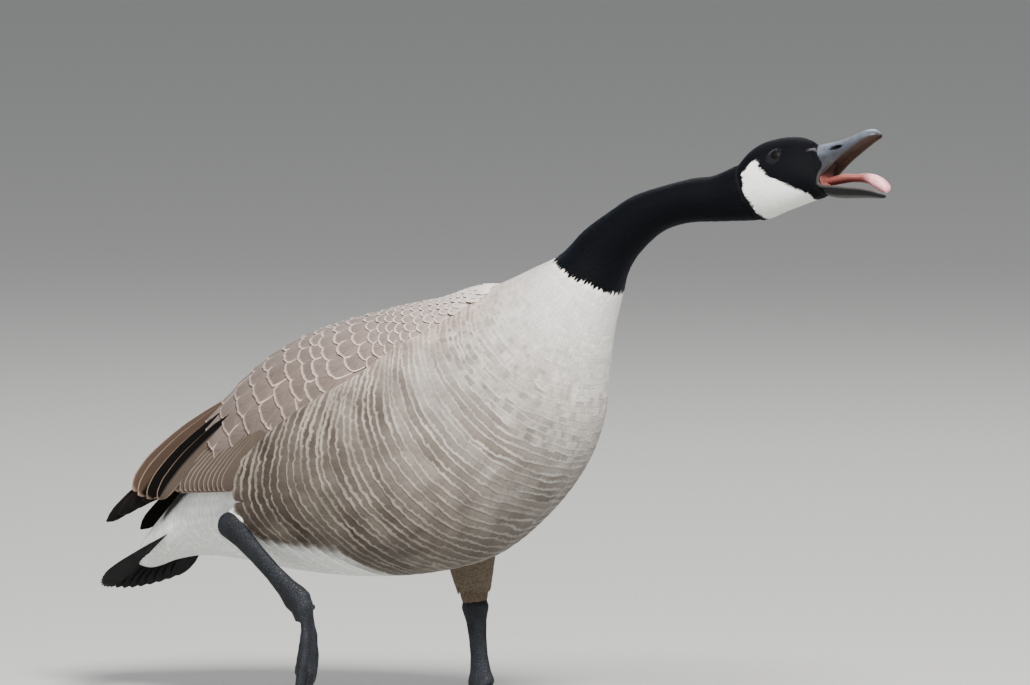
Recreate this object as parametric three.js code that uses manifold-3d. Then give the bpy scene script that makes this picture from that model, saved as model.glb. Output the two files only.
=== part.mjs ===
import * as THREE from 'three';
import Module from 'manifold-3d';

// A life-size Canada goose that strides forward and calls with its neck stretched out.
// Millimetres, +X is the way it faces, +Y its left side, +Z up.
// The body is drawn about its own mid-plane, y = 0, and the last group moves it sideways,
// so that the origin lies under the sole of the planted left foot.

// Driving dimensions
const gap = 0.3;
const leftFootSide = 38;
const soleForward = 20;
const wallSize = 600;

// Neck and body: each row is one cross-section from the head (0) to the tail tip (20), with
// the x, z of its top, the x, z of its bottom, its half width and how square it is.
const bodyRows = [
  [270, 470, 292, 427, 19, 2],
  [245, 462, 254, 424.5, 18.5, 2],
  [221, 460, 221, 422, 18.5, 2],
  [173, 445, 195, 413, 19.5, 2],
  [145, 428, 173, 394, 22, 2],
  [124, 413, 161, 376, 26, 2],
  [104, 393, 154, 355, 34, 2.05],
  [78, 380, 144, 322, 46, 2.1],
  [50, 367, 137, 288, 60, 2.15],
  [20, 356, 130, 246, 73, 2.2],
  [-8, 345, 113, 206, 82, 2.2],
  [-37, 338, 80, 166, 87, 2.25],
  [-65, 330, 36, 132, 89, 2.25],
  [-103, 318, -17, 116, 88, 2.25],
  [-141, 301, -79, 110, 83, 2.25],
  [-177, 276, -140, 112, 73, 2.2],
  [-205, 243, -197, 119, 58, 2.15],
  [-232, 208, -236, 121, 44, 2.1],
  [-258, 175, -266, 116, 34, 2.05],
  [-280, 150, -290, 108, 27, 2],
  [-300, 126, -306, 112, 13, 2],
];
const neckSplit = 2.7;
const breastRow = 6;
const tailRow = 18;

// Folded wing: the angle from the back line down to its lower edge, for body rows 8 to 18,
// and its depth over the body for the same rows.
const wingFirstRow = 8;
const wingEdgeRows = [[26], [37], [44], [49], [54.5], [60], [67], [78], [90], [94], [97]];
const wingDepthRows = [[2], [4.5], [5.6], [6.4], [7.4], [8.6], [10.2], [11.2], [15], [20.5], [20]];
const wingCoreSpan = [8.5, 16.5];
const flankDepth = 13;
const flankSpan = [8.2, 15.05];

// Head: its own cross-sections from the neck (0) to the base of the bill (7), as in bodyRows,
// with how much narrower the crown is than the cheeks.
const headRows = [
  [270, 470, 292, 427, 19, 2, 0],
  [279, 482.5, 302, 430, 19.6, 2, -0.03],
  [289, 491.5, 313, 434.5, 20.4, 2, -0.08],
  [300, 496.5, 324, 439, 20.8, 2, -0.14],
  [312, 498.5, 334, 443, 20, 2, -0.18],
  [324, 498.3, 343, 446, 18, 2, -0.18],
  [333.5, 495.5, 350, 447.5, 15.4, 2, -0.14],
  [340, 492, 354.5, 448.5, 13, 2.1, -0.08],
];
const headTurn = { pivot: [300, 0, 460], yaw: 6, roll: -17, rollAxisPitch: 20 };
const eye = { at: [308.5, 12.2, 478.5], radius: 6.8, lidRing: 6.5, lidThickness: 1.05 };

// Bill: rows of culmen x, z, tomium x, z and half width, from the base to the tip
const upperBillRows = [
  [340.5, 491.6, 349.8, 463.5, 12.6],
  [348, 493.3, 357, 471.5, 12.4],
  [357, 495.3, 365, 480.3, 12],
  [366, 498, 373, 487.3, 11.5],
  [375, 502, 380.8, 493.6, 10.8],
  [384, 506, 388, 498.6, 9.4],
  [391, 506.6, 393.5, 501, 6.6],
  [395.3, 504, 396.2, 501.6, 2.6],
];
const lowerBillRows = [
  [351.8, 456, 354.8, 448, 11.3],
  [362, 455.6, 362.6, 446.8, 10.9],
  [375, 455, 375, 446.6, 10],
  [388, 454.2, 388, 447, 8.6],
  [398, 452.8, 398, 447.6, 6.4],
  [404, 451.5, 404, 448.1, 3.8],
  [406.4, 450.4, 406.4, 448.9, 1.4],
];
const tongueRows = [
  [357.6, 466, 359.6, 457.4, 5.5],
  [368, 468.8, 369, 458.5, 6],
  [378, 468.4, 378, 459.4, 6],
  [388, 469, 387.5, 459.2, 6.2],
  [397, 467.2, 396, 457.2, 6.4],
  [404, 463.6, 402.6, 454.9, 5.8],
  [408.6, 459.4, 406.6, 453.6, 4],
  [409.8, 456.6, 408.6, 454.2, 1.5],
];
const mouthRows = [
  [349, 468.5, 352.6, 457, 9.2],
  [353.5, 468, 356, 457.1, 8.4],
  [357.3, 466.8, 359.4, 457.2, 7.2],
];
const nostril = { at: [360.5, 11.2, 489.6], size: [6.4, 3.4, 2.1], pitch: 6 };

// Legs: the joints of each leg and its radii (fore and aft, sideways)
const rightLeg = {
  side: -1, hip: [-140, -58, 186], ankle: [-179, -74, 158], toeJoint: [-121, -60, 94],
};
const leftLeg = {
  side: 1, hip: [-10, 42, 158], ankle: [-3, 42, 86], toeJoint: [5, leftFootSide, 20],
};
const thighShares = [0, 0.35, 0.7, 1];
const thighRadii = [[27, 20], [24, 18], [18, 14], [13.5, 11]];
const tarsusRadii = [[10, 8], [12.5, 9], [9.4, 6.6], [8.2, 5.6], [8, 5.4], [9.6, 6.4], [12, 8]];

// Toes: length without the claw, direction from the foot's own forward line, radius
const toes = {
  inner: { length: 62, angle: -27, radius: 5.2 },
  middle: { length: 80, angle: 0, radius: 5.8 },
  outer: { length: 74, angle: 25, radius: 5.4 },
  hind: { length: 17, angle: -160, radius: 3.4 },
};
const clawLength = 9.5;
const webThickness = 1.8;

// Colours of the parts
const finish = {
  blackFeathers: { color: 0x17171b, roughness: 0.75 },
  breastFeathers: { color: 0xcfc4b6, roughness: 0.85 },
  wingFeathers: { color: 0x7d6c5d, roughness: 0.8 },
  tailFeathers: { color: 0x221d1b, roughness: 0.7 },
  paleFeathers: { color: 0xe9e4da, roughness: 0.85 },
  bill: { color: 0x2b2d33, roughness: 0.45 },
  mouth: { color: 0xb5564f, roughness: 0.4 },
  tongue: { color: 0xe39aa0, roughness: 0.35 },
  eye: { color: 0x120c09, roughness: 0.08 },
  legs: { color: 0x24262b, roughness: 0.6 },
  claws: { color: 0x15151a, roughness: 0.5 },
};

const library = await Module();
library.setup();

const radians = Math.PI / 180;
const point = (x, y, z) => new THREE.Vector3(x, y, z);
const mix = (a, b, t) => a + (b - a) * t;
const limit = (value, low, high) => Math.min(Math.max(value, low), high);
const ease = (t) => {
  const s = limit(t, 0, 1);
  return s * s * (3 - 2 * s);
};
const steps = (first, last, count) => Array.from({ length: count + 1 }, (_, i) => mix(first, last, i / count));

// Smooth value of every column of a table at a fractional row
function blendRows(rows, at) {
  const last = rows.length - 1;
  const inside = limit(at, 0, last);
  const cell = Math.min(Math.floor(inside), last - 1);
  const t = inside - cell;
  const row = (k) => rows[limit(cell + k, 0, last)];
  const [before, from, to, after] = [row(-1), row(0), row(1), row(2)];
  return from.map((value, i) => {
    const slope = to[i] - before[i];
    const bend = 2 * before[i] - 5 * value + 4 * to[i] - after[i];
    const twist = 3 * value - before[i] - 3 * to[i] + after[i];
    return value + 0.5 * t * (slope + t * (bend + t * twist));
  });
}

// Closed surface from shared points and triangles, turned so that its faces point out
function closedGeometry(points, faces) {
  const cross = new THREE.Vector3();
  const volume = faces.reduce(
    (sum, [a, b, c]) => sum + points[a].dot(cross.crossVectors(points[b], points[c])), 0);
  const index = faces.flatMap(([a, b, c]) => (volume > 0 ? [a, b, c] : [a, c, b]));
  const geometry = new THREE.BufferGeometry();
  geometry.setAttribute('position', new THREE.Float32BufferAttribute(points.flatMap((p) => [p.x, p.y, p.z]), 3));
  geometry.setIndex(index);
  return geometry;
}

// Skin over a row of rings with the same number of points, closed by a fan at both ends
function loft(rings) {
  const count = rings[0].length;
  const points = rings.flat();
  const faces = [];
  for (let i = 0; i < rings.length - 1; i += 1) {
    for (let j = 0; j < count; j += 1) {
      const k = (j + 1) % count;
      const [a, b, c, d] = [i * count + j, i * count + k, (i + 1) * count + k, (i + 1) * count + j];
      faces.push([a, b, c], [a, c, d]);
    }
  }
  const middle = (ring) => ring.reduce((sum, p) => sum.add(p), point(0, 0, 0)).divideScalar(count);
  const lastRing = (rings.length - 1) * count;
  points.push(middle(rings[0]), middle(rings[rings.length - 1]));
  for (let j = 0; j < count; j += 1) {
    const k = (j + 1) % count;
    faces.push([points.length - 2, k, j], [points.length - 1, lastRing + j, lastRing + k]);
  }
  return closedGeometry(points, faces);
}

// Thin solid between two grids of points that are split into triangles alike
function slab(top, bottom) {
  const [rows, columns] = [top.length, top[0].length];
  const points = [...top.flat(), ...bottom.flat()];
  const under = rows * columns;
  const at = (i, j) => i * columns + j;
  const faces = [];
  for (let i = 0; i < rows - 1; i += 1) {
    for (let j = 0; j < columns - 1; j += 1) {
      const [a, b, c, d] = [at(i, j), at(i + 1, j), at(i + 1, j + 1), at(i, j + 1)];
      faces.push([a, b, c], [a, c, d]);
      faces.push([under + a, under + c, under + b], [under + a, under + d, under + c]);
    }
  }
  const rim = [];
  for (let j = 0; j < columns - 1; j += 1) rim.push(at(0, j));
  for (let i = 0; i < rows - 1; i += 1) rim.push(at(i, columns - 1));
  for (let j = columns - 1; j > 0; j -= 1) rim.push(at(rows - 1, j));
  for (let i = rows - 1; i > 0; i -= 1) rim.push(at(i, 0));
  rim.forEach((a, i) => {
    const b = rim[(i + 1) % rim.length];
    faces.push([a, b, under + b], [a, under + b, under + a]);
  });
  return closedGeometry(points, faces);
}

// Joining and cutting
function toSolid(geometry) {
  const mesh = new library.Mesh({
    numProp: 3,
    vertProperties: Float32Array.from(geometry.attributes.position.array),
    triVerts: Uint32Array.from(geometry.index.array),
  });
  return new library.Manifold(mesh);
}

function fromSolid(solid) {
  const largest = solid.decompose().sort((a, b) => b.volume() - a.volume())[0];
  const mesh = largest.getMesh();
  const geometry = new THREE.BufferGeometry();
  geometry.setAttribute('position', new THREE.Float32BufferAttribute(mesh.vertProperties, 3));
  geometry.setIndex(Array.from(mesh.triVerts));
  return geometry;
}

const joined = (geometries) => library.Manifold.union(geometries.map(toSolid));

// Box that holds everything on one side of a plane
function halfSpace(low, high) {
  const corner = (i) => point(i & 1 ? high[0] : low[0], i & 2 ? high[1] : low[1], i & 4 ? high[2] : low[2]);
  const points = steps(0, 7, 7).map(corner);
  const sides = [[0, 1, 3, 2], [4, 6, 7, 5], [0, 4, 5, 1], [2, 3, 7, 6], [0, 2, 6, 4], [1, 5, 7, 3]];
  return closedGeometry(points, sides.flatMap(([a, b, c, d]) => [[a, b, c], [a, c, d]]));
}

// Point on a cross-section: the angle runs from the top, and is positive on the left side
function sectionPoint([topX, topZ, bottomX, bottomZ, halfWidth, square, crown = 0], angle) {
  const power = 2 / square;
  const bow = (value) => Math.sign(value) * Math.abs(value) ** power;
  const up = bow(Math.cos(angle * radians));
  const out = bow(Math.sin(angle * radians));
  const x = mix(bottomX, topX, (up + 1) / 2);
  const z = mix(bottomZ, topZ, (up + 1) / 2);
  return point(x, halfWidth * (1 + crown * Math.cos(angle * radians)) * out, z);
}

// Body surface at a fractional row and angle, raised by a height
const bodyBase = (row, angle) => sectionPoint(blendRows(bodyRows, row), angle);
function bodyNormal(row, angle) {
  const along = bodyBase(row + 0.03, angle).sub(bodyBase(row - 0.03, angle));
  const around = bodyBase(row, angle + 2).sub(bodyBase(row, angle - 2));
  return around.cross(along).normalize();
}
function bodyPoint(row, angle, height = 0) {
  const base = bodyBase(row, angle);
  return height === 0 ? base : base.addScaledVector(bodyNormal(row, angle), height);
}

const wingEdge = (row) => blendRows(wingEdgeRows, row - wingFirstRow)[0];
const wingDepth = (row) => blendRows(wingDepthRows, row - wingFirstRow)[0];

// The flank feathers stand proud of the wing's lower edge and fade out toward the belly
const flankStep = 4;
function flankHeight(row, angle) {
  const below = Math.abs(angle) - wingEdge(row);
  const rise = ease(below / flankStep);
  const fall = 1 - ease((below - 14) / 48);
  const along = ease((row - flankSpan[0]) / 3.2) * (1 - ease((row - flankSpan[1]) / 0.4));
  return flankDepth * rise * fall * along;
}

// Slides a ring along the normal of its own plane
function shiftRing(ring, row, distance) {
  const [topX, topZ, bottomX, bottomZ] = blendRows(bodyRows, row);
  const across = point(topZ - bottomZ, 0, bottomX - topX).normalize();
  return ring.map((p) => p.clone().addScaledVector(across, distance));
}

function neckGeometry(from, to) {
  const sides = 22;
  const rows = steps(from, to, Math.round((to - from) * 2.4));
  const rings = rows.map((row) => steps(0, 360, sides).slice(0, sides).map((a) => bodyPoint(row, a)));
  rings[0] = shiftRing(rings[0], from, -gap);
  return loft(rings);
}

// Torso with its flanks, drawn larger by a clearance where it is used as a cutter
function torsoAngles(row) {
  const edge = wingEdge(row);
  const half = [edge * 0.25, edge * 0.5, edge * 0.75, edge, edge + flankStep];
  const below = steps(edge + flankStep, 180, 7).slice(1, 7);
  const oneSide = [...half, ...below];
  return [0, ...oneSide, 180, ...oneSide.map((a) => -a).reverse()];
}

const frontRows = steps(breastRow, wingCoreSpan[0], 5);
const wingRows = [
  ...steps(wingCoreSpan[0], flankSpan[1], 12), flankSpan[1] + 0.4, 16, wingCoreSpan[1],
];
const rearRows = steps(wingCoreSpan[1], tailRow, 3);
function torsoGeometry(clearance = 0) {
  const rows = [...frontRows, ...wingRows.slice(1), ...rearRows.slice(1)];
  const rings = rows.map((row) => torsoAngles(row).map(
    (angle) => bodyPoint(row, angle, flankHeight(row, angle) + clearance)));
  rings[0] = shiftRing(rings[0], breastRow, clearance - gap);
  rings.push(shiftRing(rings.pop(), tailRow, -clearance));
  return loft(rings);
}

// Feather vane: a tapered plate along a path.
// shape gives its width from root to tip, tilt lifts one edge over the next vane.
const contourShape = [0.6, 0.95, 1, 0.5];
const flightShape = [0.5, 0.85, 1, 0.92, 0.35];
function vane({ path, normal, width, thickness, tilt = 0, shape }) {
  const last = shape.length - 1;
  const columns = [-1, 1];
  const top = [];
  const bottom = [];
  shape.forEach((share, i) => {
    const t = i / last;
    const here = path(t);
    const ahead = path(Math.min(t + 0.02, 1)).sub(path(Math.max(t - 0.02, 0))).normalize();
    const up = normal(t).clone();
    up.addScaledVector(ahead, -up.dot(ahead)).normalize();
    const side = up.clone().cross(ahead);
    const half = (width * share) / 2;
    const thick = thickness * (1 - 0.45 * t);
    top.push([]);
    bottom.push([]);
    for (const column of columns) {
      const place = here.clone()
        .addScaledVector(side, half * column)
        .addScaledVector(up, tilt * column);
      top[i].push(place.clone().addScaledVector(up, thick / 2));
      bottom[i].push(place.clone().addScaledVector(up, -thick / 2));
    }
  });
  return slab(top, bottom);
}

// Quadratic curve through a root, toward a bend, to a tip
function arc(root, bend, tip) {
  const curve = new THREE.QuadraticBezierCurve3(point(...root), point(...bend), point(...tip));
  return (t) => curve.getPoint(t);
}
const between = (a, b, t) => a.map((value, i) => mix(value, b[i], t));

// A tier of long feathers, from its first feather to its last
function tier({ count, first, last, normals, widths, thickness, tilt, stack = 0 }) {
  return steps(0, 1, count - 1).map((t, number) => {
    const facing = point(...between(normals[0], normals[1], t)).normalize();
    const curve = arc(
      between(first.root, last.root, t), between(first.bend, last.bend, t), between(first.tip, last.tip, t));
    const path = (s) => curve(s).addScaledVector(facing, stack * number);
    return vane({
      path, normal: () => facing, width: mix(widths[0], widths[1], t), thickness, tilt,
      shape: flightShape,
    });
  });
}

// Folded wing
const wingSides = { right: -1, left: 1 };
const wingCover = (row, share) => wingDepth(row) * (1 - 0.42 * share * share);
function wingCore(side) {
  const shares = [0.03, 0.25, 0.5, 0.75, 0.985];
  if (side < 0) shares.reverse();
  const sheet = (height) => wingRows.map((row) => shares.map(
    (share) => bodyPoint(row, side * share * wingEdge(row), height(row, share))));
  return slab(sheet(wingCover), sheet(() => 1.6 * gap));
}

// Scapulars and coverts: rows of rounded vanes that lap from the shoulder to the tail
const covertTiers = {
  count: 5, firstTip: 11.6, step: 0.97, reach: 1.5, spacing: 27, overlap: 1.12,
  sunk: 0.5, raised: 2.8, stagger: 1.6, thickness: 0.9,
};
function wingCoverts(side) {
  const tiers = covertTiers;
  return steps(0, tiers.count - 1, tiers.count - 1).flatMap((number) => {
    const tipRow = tiers.firstTip + number * tiers.step;
    const arcLength = wingEdge(tipRow) * radians * mix(78, 92, ease(number / 3));
    const count = Math.max(3, Math.round(arcLength / tiers.spacing));
    const width = (tiers.overlap * arcLength) / count;
    return steps(0, count - 1, count - 1).map((k) => {
      const share = mix(0.08, 0.92, (k + (number % 2 ? 0.5 : 0)) / (count - 0.5));
      const lift = k % 2 ? -tiers.stagger : 0;
      const place = (t) => {
        const row = tipRow - tiers.reach * (1 - t);
        const cover = wingCover(row, share);
        const height = mix(tiers.sunk * cover, cover + tiers.raised, t) + lift;
        return bodyPoint(row, side * share * wingEdge(row), height);
      };
      const normal = (t) => bodyNormal(tipRow - tiers.reach * (1 - t), side * share * wingEdge(tipRow));
      return vane({ path: place, normal, width, thickness: tiers.thickness, shape: contourShape });
    });
  });
}

const mirrored = (triple, side) => [triple[0], side * triple[1], triple[2]];
function wingQuills(side, primaries) {
  const flip = ({ root, bend, tip }) => ({
    root: mirrored(root, side), bend: mirrored(bend, side), tip: mirrored(tip, side),
  });
  const outward = (list) => list.map((n) => mirrored(n, side));
  const tertials = tier({
    count: 4,
    first: flip({ root: [-172, 26, 268], bend: [-258, 23, 227], tip: [-298, 21, 175] }),
    last: flip({ root: [-168, 71, 236], bend: [-226, 68, 204], tip: [-260, 58, 168] }),
    normals: outward([[0.35, 0.45, 0.8], [0.2, 0.92, 0.35]]),
    widths: [38, 34], thickness: 1.2, tilt: side * 2.2,
  });
  const secondaries = tier({
    count: 4,
    first: flip({ root: [-184, 58, 222], bend: [-210, 61, 203], tip: [-238, 52, 180] }),
    last: flip({ root: [-146, 86, 224], bend: [-166, 86, 206], tip: [-180, 79, 186] }),
    normals: outward([[0.15, 0.95, 0.25], [0.1, 0.97, 0.2]]),
    widths: [26, 26], thickness: 1.2, tilt: side * 2.2,
  });
  const longest = tier({
    count: 5,
    ...{ first: flip(primaries.first), last: flip(primaries.last) },
    normals: outward(primaries.normals),
    widths: [26, 20], thickness: 1.1, tilt: 0, stack: 2.4,
  });
  return [...tertials, ...secondaries, ...longest];
}
const rightPrimaries = {
  first: { root: [-196, 38, 228], bend: [-262, 26, 198], tip: [-327, 14, 150] },
  last: { root: [-192, 50, 224], bend: [-246, 37, 186], tip: [-294, 25, 152] },
  normals: [[0.35, 0.75, 0.55], [0.3, 0.85, 0.4]],
};
const leftPrimaries = {
  first: { root: [-196, 36, 226], bend: [-258, 34, 190], tip: [-314, 22, 138] },
  last: { root: [-192, 50, 222], bend: [-244, 46, 178], tip: [-280, 36, 138] },
  normals: [[0.35, 0.75, 0.55], [0.3, 0.85, 0.4]],
};

function wingGeometry(side, primaries) {
  const whole = joined([wingCore(side), ...wingCoverts(side), ...wingQuills(side, primaries)]);
  const middle = side < 0
    ? halfSpace([-wallSize, -gap, 0], [wallSize, wallSize, wallSize])
    : halfSpace([-wallSize, -wallSize, 0], [wallSize, gap, wallSize]);
  return fromSolid(whole.subtract(toSolid(torsoGeometry(gap))).subtract(toSolid(middle)));
}

// Tail: a short core that carries on the body, with the quills fanned out of it
const tailFan = {
  base: [-238, 0, 164], pitch: -38, halfSpread: 34, roll: 7, inner: 33, outer: 116, count: 13, width: 27,
  stack: 1.5,
};
function tailGeometry() {
  const sides = 20;
  const rings = [18, 18.5, 19, 19.5, 20].map(
    (row) => steps(0, 360, sides).slice(0, sides).map((a) => bodyPoint(row, a)));
  rings[0] = shiftRing(rings[0], tailRow, -1.2 * gap);
  const core = loft(rings);
  const along = point(-Math.cos(tailFan.pitch * radians), 0, Math.sin(tailFan.pitch * radians));
  const across = point(0, 1, 0).applyAxisAngle(along, tailFan.roll * radians);
  const up = along.clone().cross(across);
  up.multiplyScalar(Math.sign(up.z));
  const middle = (tailFan.count - 1) / 2;
  const quills = steps(0, tailFan.count - 1, tailFan.count - 1).map((number) => {
    const share = (number - middle) / middle;
    const turn = share * tailFan.halfSpread * radians;
    const away = along.clone().multiplyScalar(Math.cos(turn)).addScaledVector(across, Math.sin(turn));
    const length = tailFan.outer - 11 * share * share;
    const under = tailFan.stack * Math.abs(number - middle);
    const path = (t) => {
      const reach = mix(tailFan.inner / Math.cos(turn) + 0.9 * under, length, t);
      return point(...tailFan.base).addScaledVector(away, reach).addScaledVector(up, -under - 3 * t * t);
    };
    return vane({
      path, normal: () => up, width: tailFan.width, thickness: 1, tilt: Math.sign(share) * 0.4,
      shape: flightShape,
    });
  });
  return fromSolid(joined([core, ...quills]).subtract(toSolid(torsoGeometry(gap))));
}

// Head: rows turn from the neck's own plane into the head's turned one
function headPose(p, share = 1) {
  const pivot = point(...headTurn.pivot);
  const pitch = headTurn.rollAxisPitch * radians;
  const rollAxis = point(Math.cos(pitch), 0, Math.sin(pitch));
  return p.clone().sub(pivot)
    .applyAxisAngle(rollAxis, headTurn.roll * radians * share)
    .applyAxisAngle(point(0, 0, 1), headTurn.yaw * radians * share)
    .add(pivot);
}
function posedGeometry(geometry) {
  const place = geometry.attributes.position;
  const p = new THREE.Vector3();
  for (let i = 0; i < place.count; i += 1) {
    p.fromBufferAttribute(place, i);
    place.setXYZ(i, ...headPose(p).toArray());
  }
  return geometry;
}

function ball(center, radii, pitch = 0, columns = 18, rows = 10) {
  const rings = steps(0, 180, rows).slice(1, rows).map((latitude) => (
    steps(0, 360, columns).slice(0, columns).map((longitude) => point(
      radii[0] * Math.sin(latitude * radians) * Math.cos(longitude * radians),
      radii[1] * Math.cos(latitude * radians),
      radii[2] * Math.sin(latitude * radians) * Math.sin(longitude * radians),
    ).applyAxisAngle(point(0, 1, 0), -pitch * radians).add(point(...center)))
  ));
  return loft(rings);
}

function lidRing(side) {
  const [columns, rows] = [22, 7];
  const [x, y, z] = eye.at;
  const depth = Math.sqrt(eye.radius ** 2 - (eye.lidRing - 0.9) ** 2);
  const grid = steps(0, 360, columns).slice(0, columns).map((turn) => (
    steps(0, 360, rows).slice(0, rows).map((roll) => {
      const reach = eye.lidRing + eye.lidThickness * Math.cos(roll * radians);
      const out = depth + 1.5 * eye.lidThickness * Math.sin(roll * radians);
      return point(
        x + reach * Math.cos(turn * radians), side * (y + out), z + reach * Math.sin(turn * radians));
    })
  ));
  const points = grid.flat();
  const faces = [];
  for (let i = 0; i < columns; i += 1) {
    for (let j = 0; j < rows; j += 1) {
      const [k, m] = [(i + 1) % columns, (j + 1) % rows];
      const [a, b, c, d] = [i * rows + j, k * rows + j, k * rows + m, i * rows + m];
      faces.push([a, b, c], [a, c, d]);
    }
  }
  return closedGeometry(points, faces);
}

const eyeCenter = (side) => [eye.at[0], side * eye.at[1], eye.at[2]];
function headGeometry() {
  const sides = 26;
  const last = headRows.length - 1;
  const rings = steps(0, last, last * 2).map((row) => (
    steps(0, 360, sides).slice(0, sides).map(
      (angle) => headPose(sectionPoint(blendRows(headRows, row), angle), ease(row / 2.5)))
  ));
  rings[rings.length - 1] = rings[rings.length - 1].map((p) => p.clone().add(point(-gap, 0, 0)));
  const lids = [-1, 1].map((side) => posedGeometry(lidRing(side)));
  const sockets = [-1, 1].map((side) => {
    const radius = eye.radius + gap;
    return posedGeometry(ball(eyeCenter(side), [radius, radius, radius]));
  });
  return fromSolid(joined([loft(rings), ...lids]).subtract(joined(sockets)));
}

function eyeGeometry(side) {
  return posedGeometry(ball(eyeCenter(side), [eye.radius, eye.radius, eye.radius]));
}

// Bill halves: a profile of (side, height) pairs on each row, hollow toward the mouth
const upperProfile = [
  [1, 0], [0.98, 0.28], [0.86, 0.6], [0.6, 0.86], [0.28, 0.98], [0, 1],
  [-0.28, 0.98], [-0.6, 0.86], [-0.86, 0.6], [-0.98, 0.28], [-1, 0],
  [-0.84, 0.03], [-0.66, 0.24], [-0.34, 0.36], [0, 0.4], [0.34, 0.36], [0.66, 0.24], [0.84, 0.03],
];
const lowerProfile = [
  [1, 1], [0.96, 0.5], [0.72, 0.14], [0.36, 0.02], [0, 0],
  [-0.36, 0.02], [-0.72, 0.14], [-0.96, 0.5], [-1, 1],
  [-0.8, 1], [-0.72, 0.62], [-0.4, 0.42], [0, 0.38], [0.4, 0.42], [0.72, 0.62], [0.8, 1],
];
function profileRings(rows, profile, count) {
  return steps(0, rows.length - 1, count).map((at) => {
    const [topX, topZ, bottomX, bottomZ, halfWidth] = blendRows(rows, at);
    return profile.map(([out, high]) => point(
      mix(bottomX, topX, high), halfWidth * out, mix(bottomZ, topZ, high)));
  });
}
function upperBillGeometry() {
  const body = loft(profileRings(upperBillRows, upperProfile, 11));
  const cuts = [-1, 1].map((side) => ball(
    [nostril.at[0], side * nostril.at[1], nostril.at[2]], nostril.size, nostril.pitch, 12, 6));
  return posedGeometry(fromSolid(toSolid(body).subtract(joined(cuts))));
}
const lowerBillGeometry = () => posedGeometry(loft(profileRings(lowerBillRows, lowerProfile, 9)));

// Smooth round piece of the mouth
function mouthPiece(rows, count, sides) {
  const rings = steps(0, rows.length - 1, count).map((at) => (
    steps(0, 360, sides).slice(0, sides).map((angle) => sectionPoint([...blendRows(rows, at), 2], angle))
  ));
  return posedGeometry(loft(rings));
}

// Round limb through a row of centres, each with its radius fore and aft and sideways
function limb(centers, radii, sideways, sides = 12, floor = -wallSize) {
  const rings = centers.map((center, i) => {
    const ahead = centers[Math.min(i + 1, centers.length - 1)].clone()
      .sub(centers[Math.max(i - 1, 0)]).normalize();
    const side = sideways.clone().addScaledVector(ahead, -sideways.dot(ahead)).normalize();
    const front = side.clone().cross(ahead);
    return steps(0, 360, sides).slice(0, sides).map((angle) => {
      const p = center.clone()
        .addScaledVector(front, radii[i][0] * Math.cos(angle * radians))
        .addScaledVector(side, radii[i][1] * Math.sin(angle * radians));
      p.z = Math.max(p.z, floor);
      return p;
    });
  });
  return loft(rings);
}
const leftward = point(0, 1, 0);
const along = (from, to, shares) => shares.map((t) => point(...between(from, to, t)));

function thighGeometry(leg) {
  const thigh = toSolid(limb(along(leg.hip, leg.ankle, thighShares), thighRadii, leftward, 14));
  return fromSolid(thigh.subtract(toSolid(torsoGeometry(gap))).subtract(toSolid(tarsusGeometry(leg, gap))));
}

function tarsusGeometry(leg, clearance = 0) {
  const shares = [-0.09, 0.04, 0.22, 0.42, 0.66, 0.86, 0.97];
  shares[0] -= clearance / 60;
  const radii = tarsusRadii.map((pair) => pair.map((radius) => radius + clearance));
  return limb(along(leg.ankle, leg.toeJoint, shares), radii, leftward, 14);
}

// Foot: the frame holds its joint, its forward line, its outer side and its upper side
function footPoint(frame, forward, outer, high) {
  return frame.joint.clone()
    .addScaledVector(frame.forward, forward)
    .addScaledVector(frame.outer, outer)
    .addScaledVector(frame.upper, high);
}
function toePath(frame, toe, t) {
  const turn = toe.angle * frame.spread * radians;
  const reach = toe.length * t;
  const arch = frame.arch * Math.sin(Math.PI * t);
  const high = toe.radius * mix(0.92, 0.62, t) + arch;
  return footPoint(frame, reach * Math.cos(turn), reach * Math.sin(turn), high);
}
function toeGeometry(frame, toe) {
  const shares = [-0.04, 0.14, 0.3, 0.42, 0.56, 0.7, 0.86, 1];
  const swell = [1.15, 1, 0.86, 1.02, 0.82, 0.95, 0.8, 0.56];
  const centers = shares.map((t) => toePath(frame, toe, t));
  const radii = shares.map((t, i) => [toe.radius * swell[i] * 0.94, toe.radius * swell[i]]);
  return limb(centers, radii, frame.outer, 8, 0);
}
function webGeometry(frame, a, b) {
  const shares = steps(0.06, 0.9, 3);
  const columns = steps(0, 1, 2);
  const sheet = (lift) => shares.map((t) => columns.map((c) => {
    const scallop = 1 - 0.2 * t * Math.sin(Math.PI * c);
    const p = toePath(frame, a, t * scallop).lerp(toePath(frame, b, t * scallop), c);
    const flat = p.clone().sub(frame.joint).dot(frame.upper);
    p.addScaledVector(frame.upper, frame.webFold * Math.sin(Math.PI * c) * t - flat + lift);
    p.z = Math.max(p.z, 0);
    return p;
  }));
  return slab(sheet(frame.webHeight + webThickness), sheet(frame.webHeight));
}
function heelGeometry(frame, leg) {
  const start = frame.joint.clone().addScaledVector(frame.upper, frame.heelRise);
  const ankle = point(...leg.ankle);
  const knuckle = point(...between(leg.ankle, leg.toeJoint, 0.97));
  const back = knuckle.clone().sub(ankle).normalize();
  const centers = [
    knuckle.clone().addScaledVector(back, gap),
    knuckle.clone().addScaledVector(back, 5),
    start.clone().addScaledVector(frame.forward, 4),
    start.clone().addScaledVector(frame.forward, 13),
  ];
  return limb(centers, [[12, 8], [12.5, 9], [9.5, 10], [6, 9]], leftward, 14, 0);
}
function footGeometry(frame, leg) {
  const digits = Object.values(toes).map((toe) => toeGeometry(frame, toe));
  const webs = [webGeometry(frame, toes.inner, toes.middle), webGeometry(frame, toes.middle, toes.outer)];
  return fromSolid(joined([heelGeometry(frame, leg), ...digits, ...webs]));
}
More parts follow.
